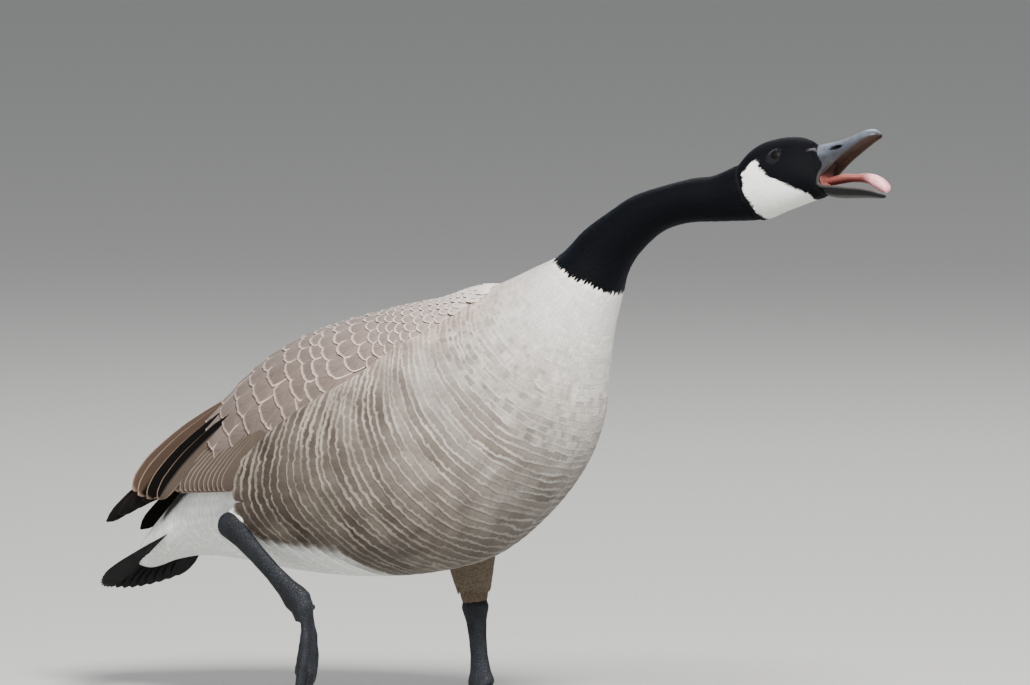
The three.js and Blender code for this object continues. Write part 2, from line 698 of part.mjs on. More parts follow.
function clawGeometry(frame, toe) {
  const tip = toePath(frame, toe, 1);
  const away = tip.clone().sub(toePath(frame, toe, 0.9)).normalize();
  const length = clawLength * (toe.radius / toes.middle.radius);
  const centers = steps(0, 1, 3).map((t) => tip.clone()
    .addScaledVector(away, gap + length * t)
    .addScaledVector(frame.upper, -1.6 * t * t));
  const radii = steps(0, 1, 3).map((t) => {
    const r = toe.radius * 0.52 * Math.sqrt(1 - 0.93 * t);
    return [r, r];
  });
  return limb(centers, radii, frame.outer, 7, 0);
}

const leftFoot = {
  joint: point(5, leftFootSide, 0), forward: point(1, 0, 0), outer: point(0, 1, 0), upper: point(0, 0, 1),
  spread: 1, arch: 0, webFold: 0, webHeight: 0, heelRise: 9,
};
const rightFoot = {
  joint: point(-117, -60, 88), forward: point(0.03, 0, -1).normalize(), outer: point(0, -1, 0),
  upper: point(1, 0, 0.03).normalize(),
  spread: 0.5, arch: 3, webFold: -9, webHeight: 3, heelRise: 2,
};

// One mesh for each part
const part = (name, geometry, look) => {
  geometry.computeVertexNormals();
  const mesh = new THREE.Mesh(geometry, new THREE.MeshStandardMaterial({ metalness: 0, ...look }));
  mesh.name = name;
  return mesh;
};

function legParts(label, leg, frame) {
  const claws = Object.entries(toes).map(
    ([toe, size]) => part(`claw_${label}_${toe}`, clawGeometry(frame, size), finish.claws));
  return [
    part(`thigh_${label}`, thighGeometry(leg), finish.paleFeathers),
    part(`tarsus_${label}`, tarsusGeometry(leg), finish.legs),
    part(`foot_${label}`, footGeometry(frame, leg), finish.legs),
    ...claws,
  ];
}

const goose = new THREE.Group();
goose.add(
  part('head', headGeometry(), finish.blackFeathers),
  part('eye_right', eyeGeometry(-1), finish.eye),
  part('eye_left', eyeGeometry(1), finish.eye),
  part('upper_bill', upperBillGeometry(), finish.bill),
  part('lower_bill', lowerBillGeometry(), finish.bill),
  part('mouth_lining', mouthPiece(mouthRows, 2, 16), finish.mouth),
  part('tongue', mouthPiece(tongueRows, 10, 12), finish.tongue),
  part('neck_upper', neckGeometry(0, neckSplit), finish.blackFeathers),
  part('neck_lower', neckGeometry(neckSplit, breastRow), finish.blackFeathers),
  part('torso', torsoGeometry(), finish.breastFeathers),
  part('wing_right', wingGeometry(wingSides.right, rightPrimaries), finish.wingFeathers),
  part('wing_left', wingGeometry(wingSides.left, leftPrimaries), finish.wingFeathers),
  part('tail', tailGeometry(), finish.tailFeathers),
  ...legParts('right', rightLeg, rightFoot),
  ...legParts('left', leftLeg, leftFoot),
);
goose.position.set(-soleForward, -leftFootSide, 0);

export default goose;
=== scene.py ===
import math

import bpy
import numpy as np
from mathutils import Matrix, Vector
from mathutils.kdtree import KDTree


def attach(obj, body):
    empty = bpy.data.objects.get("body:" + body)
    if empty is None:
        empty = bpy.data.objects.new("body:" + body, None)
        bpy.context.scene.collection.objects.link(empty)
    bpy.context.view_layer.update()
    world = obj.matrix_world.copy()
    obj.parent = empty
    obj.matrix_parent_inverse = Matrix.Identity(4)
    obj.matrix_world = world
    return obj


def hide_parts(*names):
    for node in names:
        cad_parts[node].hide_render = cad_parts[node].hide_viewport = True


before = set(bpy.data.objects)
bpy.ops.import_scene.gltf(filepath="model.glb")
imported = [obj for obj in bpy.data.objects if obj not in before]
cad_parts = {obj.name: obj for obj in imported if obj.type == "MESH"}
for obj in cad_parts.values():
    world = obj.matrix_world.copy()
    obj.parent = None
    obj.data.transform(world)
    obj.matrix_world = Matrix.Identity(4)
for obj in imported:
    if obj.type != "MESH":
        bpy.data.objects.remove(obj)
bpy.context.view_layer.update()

# Sizes in millimetres, in the goose's own frame: x forward, y to its left, z up from the ground.
MM = 0.001
FRAME_SHIFT = np.array([20.0, 38.0, 0.0])
SEED = 11
rng = np.random.default_rng(SEED)

# Body rows from the head to the tail: top x, z, bottom x, z, half width, squareness, crown
BODY_ROWS = np.array([
    [270, 474.5, 292, 427, 19, 2, 0], [245, 463.4, 254, 424.5, 18.5, 2, 0],
    [221, 459.4, 221, 422, 18.5, 2, 0], [173, 445, 195, 413, 19.5, 2, 0],
    [145, 428, 173, 394, 22, 2, 0], [124, 413, 161, 376, 26, 2, 0],
    [104, 393, 154, 355, 34, 2.05, 0], [78, 380, 144, 322, 46, 2.1, 0],
    [50, 367, 137, 288, 60, 2.15, 0], [20, 356, 130, 246, 73, 2.2, 0],
    [-8, 345, 113, 206, 82, 2.2, 0], [-37, 338, 80, 166, 87, 2.25, 0],
    [-65, 330, 36, 132, 89, 2.25, 0], [-103, 318, -17, 116, 88, 2.25, 0],
    [-141, 301, -79, 110, 83, 2.25, 0], [-177, 276, -140, 112, 73, 2.2, 0],
    [-205, 243, -197, 119, 58, 2.15, 0], [-232, 208, -236, 121, 44, 2.1, 0],
    [-258, 175, -266, 116, 34, 2.05, 0], [-280, 150, -290, 108, 27, 2, 0],
    [-300, 126, -306, 112, 13, 2, 0],
])
HEAD_ROWS = np.array([
    [270, 474.5, 292, 427, 19, 2, 0], [279, 485, 302, 430, 19.6, 2, -0.03],
    [289, 492.6, 313, 434.5, 20.4, 2, -0.08], [300, 496.5, 324, 439, 20.8, 2, -0.14],
    [312, 498.5, 334, 443, 20, 2, -0.18], [324, 498.3, 343, 446, 18, 2, -0.18],
    [333.5, 495.5, 350, 447.5, 15.4, 2, -0.14], [340, 492, 354.5, 448.5, 13, 2.1, -0.08],
    [346.5, 493.4, 359, 448, 12.9, 2.1, -0.04],
])
HEAD_TURN = {"pivot": (300, 0, 460), "yaw": 6, "roll": -17, "roll_axis_pitch": 20}
EYE = {"at": (308.5, 12.2, 478.5), "radius": 6.8, "lid_ring": 6.9, "lid": 0.75, "bare": 8.4, "creases": 18}
WING_FIRST_ROW = 8
WING_EDGE = np.array([26, 37, 44, 49, 54.5, 60, 67, 78, 90, 94, 97], float)[:, None]
WING_DEPTH = np.array([2, 4.5, 5.6, 6.4, 7.4, 8.6, 10.2, 11.2, 15, 20.5, 20], float)[:, None]
FLANK_DEPTH = 13
SKIN_DEPTH = 4.5


def ease(t):
    s = np.clip(t, 0, 1)
    return s * s * (3 - 2 * s)


def mix(a, b, t):
    return a + (b - a) * t


def circle(count):
    """Evenly spread angles of a full turn, in radians."""
    return np.radians(np.linspace(0, 360, count, endpoint=False))


def to_scene(p):
    """Millimetres of the goose's own frame as a flat list of the shared frame's metres."""
    return ((p - FRAME_SHIFT) * MM).astype(np.float32).reshape(-1)


def linked(name, data):
    """A new object in the scene."""
    item = bpy.data.objects.new(name, data)
    bpy.context.scene.collection.objects.link(item)
    return item


def unit(v):
    return v / (np.linalg.norm(v, axis=-1, keepdims=True) + 1e-12)


def dot(a, b):
    return np.sum(a * b, axis=-1)


def blend_rows(rows, at):
    """Smooth value of every column of a table at fractional rows."""
    last = len(rows) - 1
    at = np.clip(np.asarray(at, float), 0, last)
    cell = np.minimum(at.astype(int), last - 1)
    t = (at - cell)[..., None]
    before, start, end, after = (rows[np.clip(cell + k, 0, last)] for k in (-1, 0, 1, 2))
    bend = 2 * before - 5 * start + 4 * end - after
    twist = 3 * start - before - 3 * end + after
    return start + 0.5 * t * (end - before + t * (bend + t * twist))


def section_point(values, angle):
    """Point of a cross-section. The angle runs in degrees from the top, positive on the left."""
    top_x, top_z, low_x, low_z, width, square, crown = np.moveaxis(values, -1, 0)
    turn = np.radians(angle)
    power = 2 / square
    up = np.sign(np.cos(turn)) * np.abs(np.cos(turn)) ** power
    out = np.sign(np.sin(turn)) * np.abs(np.sin(turn)) ** power
    share = (up + 1) / 2
    return np.stack([
        mix(low_x, top_x, share), width * (1 + crown * np.cos(turn)) * out, mix(low_z, top_z, share),
    ], -1)


def turn_matrix(axis, degrees):
    a = np.array(axis, float)
    a /= np.linalg.norm(a)
    k = np.array([[0, -a[2], a[1]], [a[2], 0, -a[0]], [-a[1], a[0], 0]])
    t = math.radians(degrees)
    return np.eye(3) + math.sin(t) * k + (1 - math.cos(t)) * k @ k


def head_pose(p, share=1.0):
    """Turns points of the straight head into the head's real pose, by a share of the turn."""
    pivot = np.array(HEAD_TURN["pivot"], float)
    pitch = math.radians(HEAD_TURN["roll_axis_pitch"])
    share = np.broadcast_to(np.asarray(share, float), p.shape[:-1])
    levels = np.linspace(0, 1, 9)
    turns = np.array([
        turn_matrix((0, 0, 1), HEAD_TURN["yaw"] * s)
        @ turn_matrix((math.cos(pitch), 0, math.sin(pitch)), HEAD_TURN["roll"] * s) for s in levels])
    at = np.clip(share * 8, 0, 8)
    low = np.minimum(at.astype(int), 7)
    t = (at - low)[..., None, None]
    matrix = turns[low] * (1 - t) + turns[low + 1] * t
    return np.einsum("...ij,...j->...i", matrix, p - pivot) + pivot


def body_base(row, angle):
    return section_point(blend_rows(BODY_ROWS, row), angle)


def head_base(row, angle):
    return head_pose(section_point(blend_rows(HEAD_ROWS, row), angle), ease(np.asarray(row) / 2.5))


def surface(base, sign):
    """A skin function of (row, angle, height) over a base, with the height along its normal."""
    def place(row, angle, height=0.0):
        row, angle = np.asarray(row, float), np.asarray(angle, float)
        along = base(row + 0.03, angle) - base(row - 0.03, angle)
        around = base(row, angle + 2) - base(row, angle - 2)
        normal = sign * unit(np.cross(around, along))
        return base(row, angle) + normal * np.asarray(height, float)[..., None]
    return place


body_point = surface(body_base, 1)
head_point = surface(head_base, -1)


def wing_edge(row):
    return blend_rows(WING_EDGE, np.asarray(row) - WING_FIRST_ROW)[..., 0]


def wing_depth(row):
    return blend_rows(WING_DEPTH, np.asarray(row) - WING_FIRST_ROW)[..., 0]


def flank_height(row, angle, rear):
    below = np.abs(angle) - wing_edge(row)
    lift = ease(below / 4) * (1 - ease((below - 14) / 48)) * ease((row - 8.2) / 3.2)
    return FLANK_DEPTH * lift * (1 - ease((row - rear) / 0.4))


def wing_height(row, angle):
    share = np.abs(angle) / wing_edge(row)
    return wing_depth(row) * (1 - 0.42 * np.clip(share, 0, 1.2) ** 2) * ease((row - 7.2) / 1.6)


# Patterns that stay the same from run to run
def noise(p, scale, seed=0):
    """Smooth value noise from -1 to 1 at points p, with cells of the given size."""
    q = np.asarray(p, float) / scale + seed * 17.37
    cell = np.floor(q).astype(np.int64)
    f = q - cell
    f = f * f * (3 - 2 * f)
    total = 0
    for corner in np.ndindex(*(2,) * q.shape[-1]):
        corner = np.array(corner)
        key = (cell + corner) @ np.array([73856093, 19349663, 83492791][:q.shape[-1]])
        key = (key ^ (key >> 13)) * 1274126177
        value = ((key ^ (key >> 16)) & 0xFFFF) / 32767.5 - 1
        total = total + value * np.prod(np.where(corner, f, 1 - f), axis=-1)
    return total


def srgb(*rgb):
    c = np.array(rgb, float) / 255
    return np.where(c <= 0.04045, c / 12.92, ((c + 0.055) / 1.055) ** 2.4)


BLACK = srgb(5, 6, 9)
WHITE = srgb(238, 239, 236)
PINK_EDGE = srgb(222, 202, 190)
RUMP = srgb(40, 35, 32)
# Body colours from the pale breast to the browner flank, each with the row where it holds
BODY_STAGES = [6.2, 8, 9.8, 11.8, 14.6]
BODY_SHADES = srgb((214, 210, 205), (178, 172, 165), (122, 113, 104), (86, 76, 68), (58, 49, 42))
BODY_TIPS = srgb((234, 232, 227), (222, 217, 211), (208, 201, 193), (190, 181, 169), (160, 148, 134))
BELLY_LINE = ([13.3, 13.9, 14.3, 14.8, 15.15, 15.3, 15.42], [190, 138, 131, 127.5, 123, 118, 60])
# Row where the black neck ends, by the angle from the top
NECK_LINE = ([0, 58, 89, 125, 180], [6.1, 6.0, 5.9, 5.7, 5.62])
RUMP_START = 15.2
CRESCENT_START = 18.1


def blend(a, b, t):
    return a + (b - a) * np.asarray(t)[..., None]


def graded(at, stages, table):
    """Every column of a table at places between its stages."""
    table = np.asarray(table)
    return np.stack([np.interp(at, stages, table[:, k]) for k in range(table.shape[1])], -1)


def neck_line(angle):
    return np.interp(np.abs(angle), *NECK_LINE)


def body_marks(row, angle):
    """Dark colour, tip colour and share of the tip band for feathers that end at (row, angle)."""
    side = np.abs(angle)
    p = np.stack([row * 30, side * 1.2], -1)
    wander = noise(p, 42, 1)
    # Browner toward the back
    age = row + 0.4 * wander + 1.0 * ease((75 - side) / 60) - 0.9 * ease((side - 118) / 50)
    dark, tip = graded(age, BODY_STAGES, BODY_SHADES), graded(age, BODY_STAGES, BODY_TIPS)
    back = 0.85 * ease((72 - side) / 30) * ease((row - 6.7) / 1.7)
    mantle = blend(srgb(200, 189, 183), srgb(140, 121, 112), ease((row - 7.4) / 2))
    dark = blend(dark, mantle, back)
    tip = blend(tip, PINK_EDGE, back)
    fringe = np.interp(row, [6, 9, 12, 15], [0.15, 0.11, 0.09, 0.08]) * (1 + 0.55 * noise(p, 8, 6))
    # Short dark dashes on the breast, and pale tips that come and go
    front = 1 - ease((row - 8.2) / 2.5)
    dash = ease((noise(p / np.array([2.6, 6.5]), 1, 8) - 0.1) / 0.5) * ease((row - 6.2) / 3.2)
    dark = blend(dark, 0.5 * dark, dash * (0.4 + 0.3 * front))
    tip = blend(tip, 0.55 * tip, dash * (0.15 + 0.6 * front))
    tip = blend(tip, dark, 0.3 + 0.3 * noise(p, 7, 7) + 0.2 * front)
    # Painted shade under the belly, strongest on the long underside feathers
    under = 0.38 * ease((side - 108) / 40) * ease((row - 8) / 3)
    both = np.stack([dark, tip]) * (1 - under)[..., None]
    # White belly and vent, behind the legs
    soft = np.interp(row, [13.3, 14.3], [26, 9])
    both = blend(both, WHITE, ease((side - np.interp(row, *BELLY_LINE) + 3 * wander + 0.5 * soft) / soft))
    # Rump over the tail: dark, then a white crescent
    crescent = ease((row - CRESCENT_START) / 0.3)
    both = blend(both, RUMP, ease((78 - side) / 10) * ease((row - RUMP_START) / 0.3) * (1 - crescent))
    both = blend(both, WHITE, crescent)
    both = blend(both, BLACK, ease((neck_line(angle) - row + 0.05 * noise(p, 9, 2)) / 0.05))
    return both[0], both[1], fringe


def plain_marks(count, dark, tip, fringe):
    """The same marks for every feather."""
    return np.broadcast_to(dark, (count, 3)), np.broadcast_to(tip, (count, 3)), np.full(count, fringe)


# White cheek patch: its outline on the straight head as (x, z), round from the nape
CHEEK = np.array([
    (282.4, 468.2), (287.5, 473.9), (293.8, 477.4), (297.5, 470.6), (307.5, 462.2), (319.1, 457.3),
    (334, 451.6), (342.5, 448.4), (346.5, 442), (346.5, 420), (304, 415), (304.6, 425.1),
    (295.8, 434.4), (290.3, 444.6), (285, 453.1),
])


def inside_depth(p, outline):
    """Distance inside a closed outline, negative outside, for points (x, z)."""
    a, b = outline, np.roll(outline, -1, axis=0)
    edge = b - a
    rel = p[..., None, :] - a
    t = np.clip(np.sum(rel * edge, -1) / np.sum(edge * edge, -1), 0, 1)
    reach = np.linalg.norm(rel - t[..., None] * edge, axis=-1).min(-1)
    above = (a[:, 1] > p[..., None, 1]) != (b[:, 1] > p[..., None, 1])
    rise = np.where(edge[:, 1] == 0, 1e-9, edge[:, 1])
    cross = a[:, 0] + (p[..., None, 1] - a[:, 1]) / rise * edge[:, 0]
    inside = (above & (p[..., None, 0] < cross)).sum(-1) % 2 == 1
    return np.where(inside, reach, -reach)


# Edge of the feathers against the bill, as z and x on the straight head
BILL_EDGE = (
    [448, 453, 458.3, 465.3, 471, 474, 478.5, 485, 488, 493],
    [349.5, 346.8, 346.6, 348.4, 350.5, 351.2, 349.2, 341.5, 341, 342],
)


def head_marks(row, angle):
    straight = section_point(blend_rows(HEAD_ROWS, row), angle)
    p = straight[..., [0, 2]]
    depth = inside_depth(p, CHEEK) + 0.9 * noise(p, 2.6, 4)
    white = ease((depth + 0.6) / 1.2)
    # Painted shade: the white cheek turns grey and a little yellow toward its lower edge
    shade = ease((458 - straight[..., 2]) / 34) * 0.35
    cheek = blend(WHITE, srgb(190, 190, 172), shade)
    dark = blend(np.broadcast_to(BLACK, cheek.shape), cheek, white)
    streak = np.abs(p[..., 1] - 486 - 0.32 * (p[..., 0] - 338)) / 1.1
    dark = blend(dark, srgb(104, 100, 104), 0.55 * ease(1.4 - streak) * ease((p[..., 0] - 335) / 5))
    return dark, dark, np.zeros(dark.shape[:-1])


# Meshes from arrays
def new_mesh(name, verts, quads, tris=None, attributes=None, loops_uv=None):
    tris = np.zeros((0, 3), int) if tris is None else tris
    mesh = bpy.data.meshes.new(name)
    corner = np.concatenate([quads.reshape(-1), tris.reshape(-1)]).astype(np.int32)
    totals = np.concatenate([np.full(len(quads), 4), np.full(len(tris), 3)]).astype(np.int32)
    starts = (np.cumsum(totals) - totals).astype(np.int32)
    mesh.vertices.add(len(verts))
    mesh.vertices.foreach_set("co", to_scene(verts))
    mesh.loops.add(len(corner))
    mesh.loops.foreach_set("vertex_index", corner)
    mesh.polygons.add(len(totals))
    mesh.polygons.foreach_set("loop_start", starts)
    mesh.polygons.foreach_set("loop_total", totals)
    mesh.update(calc_edges=True)
    mesh.polygons.foreach_set("use_smooth", np.full(len(totals), True))
    for key, (kind, data) in (attributes or {}).items():
        layer = mesh.attributes.new(key, kind, "POINT")
        layer.data.foreach_set("color" if "COLOR" in kind else "vector", data.astype(np.float32).reshape(-1))
    if loops_uv is not None:
        uv = mesh.uv_layers.new(name="OFBake")
        uv.data.foreach_set("uv", loops_uv[corner].astype(np.float32).reshape(-1))
    mesh.validate()
    return mesh


def add_piece(name, mesh, material, slot, replaces=()):
    piece = linked(name, mesh)
    mesh.materials.append(material)
    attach(piece, "root")
    if replaces:
        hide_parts(*replaces)
    return piece


def strip_faces(count, stations, columns):
    """Quads and end triangles of closed feathers: a top sheet of columns and one strip under it."""
    quads, caps = [], []
    for i in range(stations - 1):
        for j in range(columns):
            k = (j + 1) % columns
            near, far = i * columns, (i + 1) * columns
            quads.append([near + j, near + k, far + k, far + j])
    end = (stations - 1) * columns
    for j in range(1, columns - 1):
        caps += [[0, j + 1, j], [end, end + j, end + j + 1]]
    shift = (np.arange(count) * stations * columns)[:, None, None]
    return (np.array(quads)[None] + shift).reshape(-1, 4), (np.array(caps)[None] + shift).reshape(-1, 3)


# Outlines of feathers: shares of the length, and widths there
BROAD = ([0, 0.35, 0.62, 0.8, 0.92, 1.0], [0.4, 0.8, 0.95, 1.0, 0.97, 0.82])
SQUARE = ([0, 0.35, 0.65, 0.85, 0.95, 1.0], [0.6, 0.9, 1.0, 1.0, 0.95, 0.84])
SHORT = ([0, 0.45, 0.8, 1.0], [0.5, 1.0, 0.75, 0.12])


# Where along a feather its marks are read, and how far whole feathers differ in tone
MARK_SHARE, TINT_RANGE = 0.85, 0.08


def lay_feathers(place, roots, heading, length, width, lift, profile, columns=3, ridge=0.25, rounding=0.0,
                 ragged=0.0, sag=0.0, fade=0.0, fade_wide=False, marks=None):
    """Feathers that follow a skin function. roots are (row, angle), heading a 3-D direction for
    each, lift the heights of root and tip, and ridge the height of the shaft over the edges."""
    shares, widths = np.array(profile)
    row, angle = roots.T
    step_row, step_angle = 0.02, 0.5
    per_row = (place(row + step_row, angle) - place(row - step_row, angle)) / (2 * step_row)
    per_angle = (place(row, angle + step_angle) - place(row, angle - step_angle)) / (2 * step_angle)
    normal = unit(np.cross(per_angle, per_row))
    forward = unit(heading - normal * dot(heading, normal)[:, None])
    across = np.cross(normal, forward)
    aa, ab, bb = dot(per_row, per_row), dot(per_row, per_angle), dot(per_angle, per_angle)

    def each(values):
        return values[:, None, None]

    def steps_for(direction):
        ra, rb = dot(per_row, direction), dot(per_angle, direction)
        area = aa * bb - ab * ab
        return (ra * bb - rb * ab) / area, (rb * aa - ra * ab) / area

    forward_row, forward_angle = steps_for(forward)
    across_row, across_angle = steps_for(across)
    w = np.linspace(-1, 1, columns)
    count, stations = len(roots), len(shares)
    t = shares[None, :, None]
    uneven = ragged * (2 * rng.random((count, 1, columns)) - 1) - rounding * w ** 2
    s = t * each(length) * (1 + uneven * t ** 4)
    half = 0.5 * widths[None, :, None] * each(width) * w
    rows = each(row) + s * each(forward_row) + half * each(across_row)
    angles = each(angle) + s * each(forward_angle) + half * each(across_angle)
    height = mix(each(lift[0]), each(lift[1]), t)
    height = height + ridge * (1 - 0.75 * t ** 2) * (1 - w ** 2) - sag * w ** 2
    verts = place(rows, angles, height)
    quads, caps = strip_faces(count, stations, columns)
    tag = rng.random(count)
    vane = np.stack(np.broadcast_arrays(w, t, each(tag)), -1)
    if marks is None:
        # The marks vary across a feather, with the place where each column ends
        to_marks = MARK_SHARE * length
        tip_row = (row + to_marks * forward_row)[:, None] + half[:, -2] * across_row[:, None]
        tip_angle = (angle + to_marks * forward_angle)[:, None] + half[:, -2] * across_angle[:, None]
        dark, tip, fringe = body_marks(tip_row, tip_angle)
        streaks = noise(np.stack([tip_row * 30 / 7, np.abs(tip_angle) * 1.2 / 26], -1), 1, 12)
        chance = np.broadcast_to(rng.random((count, 1)) ** 1.5, tip_row.shape)
        faded = np.broadcast_to(fade, (count,))[:, None] * np.where(fade_wide, chance, 0.5 + 0.5 * streaks)
        dark = blend(dark, tip, faded)
    else:
        dark, tip, fringe = (np.repeat(mark[:, None], columns, axis=1) for mark in marks)
    shape = (count, stations, columns, 4)
    tint = each(1 + TINT_RANGE * (rng.random(count) - 0.5))
    base = np.concatenate([dark * tint, np.ones((count, columns, 1))], -1)
    edge = np.concatenate([tip, fringe[..., None]], -1)
    return {
        "verts": verts.reshape(-1, 3), "quads": quads, "caps": caps, "roots": roots,
        "vane": vane.reshape(-1, 3),
        "coat": np.broadcast_to(base[:, None], shape).reshape(-1, 4),
        "edge": np.broadcast_to(edge[:, None], shape).reshape(-1, 4),
        "per": stations * columns,
    }


UNWRAP_ROWS = 21
PATCH_HALF = 0.0015


def unwrap(roots):
    """Place of each root on an unwrap of the skin's own shape: length along, angle around."""
    along = np.clip(roots[:, 0] / UNWRAP_ROWS, 0.01, 0.99)
    return np.stack([(roots[:, 1] / 360) % 1 * 0.98 + 0.01, along], -1)


def feather_piece(name, batches, material, slot, replaces=()):
    """One coat piece from batches of feathers. Each feather is a small patch on the unwrap."""
    def joined(key):
        return np.concatenate([batch[key] for batch in batches])

    starts = np.cumsum([0] + [len(batch["verts"]) for batch in batches])
    quads = np.concatenate([batch["quads"] + start for batch, start in zip(batches, starts)])
    caps = np.concatenate([batch["caps"] + start for batch, start in zip(batches, starts)])
    vane = joined("vane")
    places = np.concatenate([np.repeat(unwrap(batch["roots"]), batch["per"], axis=0) for batch in batches])
    uv = places + PATCH_HALF * np.stack([vane[:, 0], 2 * vane[:, 1] - 1], -1)
    data = {
        "vane": ("FLOAT_VECTOR", vane),
        "coat": ("FLOAT_COLOR", joined("coat")),
        "edge": ("FLOAT_COLOR", joined("edge")),
    }
    mesh = new_mesh(name, joined("verts"), quads, caps, data, uv)
    # The outline of each vane is sharp, so that its top stays flat up to its edge
    ends = np.zeros(2 * len(mesh.edges), np.int32)
    mesh.edges.foreach_get("vertices", ends)
    across, along = np.moveaxis(np.abs(vane[ends.reshape(-1, 2)])[..., :2], -1, 0)
    outline = (across > 0.999).all(1) | (along > 0.999).all(1) | (along < 0.001).all(1)
    sharp = mesh.attributes.new("sharp_edge", "BOOLEAN", "EDGE")
    sharp.data.foreach_set("value", outline)
    return add_piece(name, mesh, material, slot, replaces)


def rows_of_roots(place, levels, curve, span, spacing, jitter=0.12):
    """Roots in staggered rows, and their headings. curve(level, angles) gives each row's line over the
    span of angles, spacing(row, angle) the distance between neighbours."""
    roots, headings = [], []
    angles = np.linspace(span[0], span[1], 481)
    for number, level in enumerate(levels):
        row = curve(level, angles)
        p = place(row, angles)
        gap = np.linalg.norm(np.diff(p, axis=0), axis=1) / spacing(row[1:], angles[1:])
        run = np.concatenate([[0], np.cumsum(gap)])
        count = int(run[-1])
        at = np.arange(count) + 0.25 + 0.5 * (number % 2) + jitter * (rng.random(count) - 0.5) * 2
        a = np.interp(at, run, angles)
        r = curve(level, a)
        a2 = a + 0.4
        lane = place(curve(level, a2), a2) - place(r, a)
        along = place(r + 0.02, a) - place(r - 0.02, a)
        normal = np.cross(place(r, a2) - place(r, a), along)
        forward = unit(np.cross(unit(lane), unit(normal)))
        roots.append(np.stack([r + jitter * 0.2 * (rng.random(count) - 0.5), a], -1))
        headings.append(forward * np.sign(dot(forward, along))[:, None])
    return np.concatenate(roots), np.concatenate(headings)


def level_row(level, angles):
    return np.full_like(angles, level)


def levels_for(first, last, exposure, per_row):
    """Row levels so that the space between rows is the exposure at each."""
    out = [first]
    while out[-1] < last:
        out.append(out[-1] + exposure(out[-1]) / per_row(out[-1]))
    return np.array(out)


# Materials
class Paint:
    """A material with short ways to add and join its nodes."""
    def __init__(self, name):
        self.material = bpy.data.materials.new(name)
        self.material.use_nodes = True
        self.tree = self.material.node_tree
        self.shader = self.tree.nodes["Principled BSDF"]

    def feed(self, node, inputs):
        """Joins or sets the inputs of a node."""
        for key, value in inputs.items():
            if isinstance(value, bpy.types.NodeSocket):
                self.tree.links.new(value, node.inputs[key])
            else:
                node.inputs[key].default_value = value

    def add(self, kind, inputs, **settings):
        node = self.tree.nodes.new("ShaderNode" + kind)
        for key, value in settings.items():
            setattr(node, key, value)
        self.feed(node, inputs)
        return node

    def attribute(self, key):
        return self.add("Attribute", {}, attribute_type="GEOMETRY", attribute_name=key).outputs

    def calc(self, operation, *values):
        return self.add("Math", dict(enumerate(values)), operation=operation).outputs[0]

    def spread(self, value, low, high, start=0.3, end=0.7, **settings):
        """Maps the range from start to end onto the range from low to high."""
        inputs = {"Value": value, "From Min": start, "From Max": end, "To Min": low, "To Max": high}
        return self.add("MapRange", inputs, **settings).outputs["Result"]

    def scaled(self, colour, factor):
        return self.add("VectorMath", {0: colour, "Scale": factor}, operation="SCALE").outputs[0]

    def grain(self, scale, detail):
        place = self.add("TexCoord", {}).outputs["Object"]
        return self.add("TexNoise", {"Scale": scale, "Detail": detail, "Vector": place}).outputs["Fac"]

    def ramp(self, value, dark, light, positions=(0.0, 1.0)):
        node = self.add("ValToRGB", {"Fac": value})
        for element, position, colour in zip(node.color_ramp.elements, positions, (dark, light)):
            element.position = position
            element.color = (*colour, 1)
        return node.outputs["Color"]

    def finish(self, colour, height, strength, distance, inputs):
        """Colour, bump and the shader's own values."""
        bump = self.add("Bump", {"Strength": strength, "Distance": distance, "Height": height})
        self.feed(self.shader, {"Base Color": colour, "Normal": bump.outputs["Normal"], **inputs})
        return self.material


def plumage(name, roughness, sheen, sheen_tint, contrast, barbs=1.0, ragged=0.16, wrap=0.03, power=2.0,
            shine=0.2, deepen=0.0):
    """Feather material: coat colour, a paler or darker tip band, and fine barbs on each vane."""
    paint = Paint(name)
    calc = paint.calc
    coat, edge, vane = (paint.attribute(key) for key in ("coat", "edge", "vane"))
    across, along, tag = paint.add("SeparateXYZ", {0: vane["Vector"]}).outputs
    wide = calc("ABSOLUTE", across)
    # Barbs leave the shaft at an angle, a little ragged
    slant = calc("ADD", calc("MULTIPLY", along, 15.0 * barbs), calc("MULTIPLY", wide, -7.0 * barbs))
    spot = paint.add(
        "CombineXYZ", {0: slant, 1: calc("MULTIPLY", across, 1.4), 2: calc("MULTIPLY", tag, 41.0)})
    barb = paint.add("TexNoise", {"Scale": 2.2, "Detail": 3.0, "Vector": spot.outputs[0]}).outputs["Fac"]
    # Tip band that follows the round tip
    uneven = calc("MULTIPLY", calc("SUBTRACT", barb, 0.5), ragged)
    reach = calc("ADD", calc("ADD", along, calc("MULTIPLY", calc("POWER", wide, power), wrap)), uneven)
    start = calc("SUBTRACT", 1.0, edge["Alpha"])
    band = paint.spread(
        reach, 0.0, 1.0, calc("SUBTRACT", start, 0.02), calc("ADD", start, 0.03),
        interpolation_type="SMOOTHSTEP")
    colour = paint.add("Mix", {"Factor": band, "A": coat["Color"], "B": edge["Color"]}, data_type="RGBA")
    shade = paint.spread(barb, 1 - contrast, 1 + 0.6 * contrast)
    deep = paint.spread(
        calc("SUBTRACT", along, calc("MULTIPLY", wide, 0.25)), 1.0 + deepen / 2, 1.0 - deepen, 0.35, 1.0)
    tone = paint.scaled(colour.outputs["Result"], calc("MULTIPLY", shade, deep))
    return paint.finish(tone, barb, 0.35, 0.0006, {
        "Roughness": roughness, "Specular IOR Level": shine, "Sheen Weight": sheen, "Sheen Roughness": 0.5,
        "Sheen Tint": (*sheen_tint, 1)})


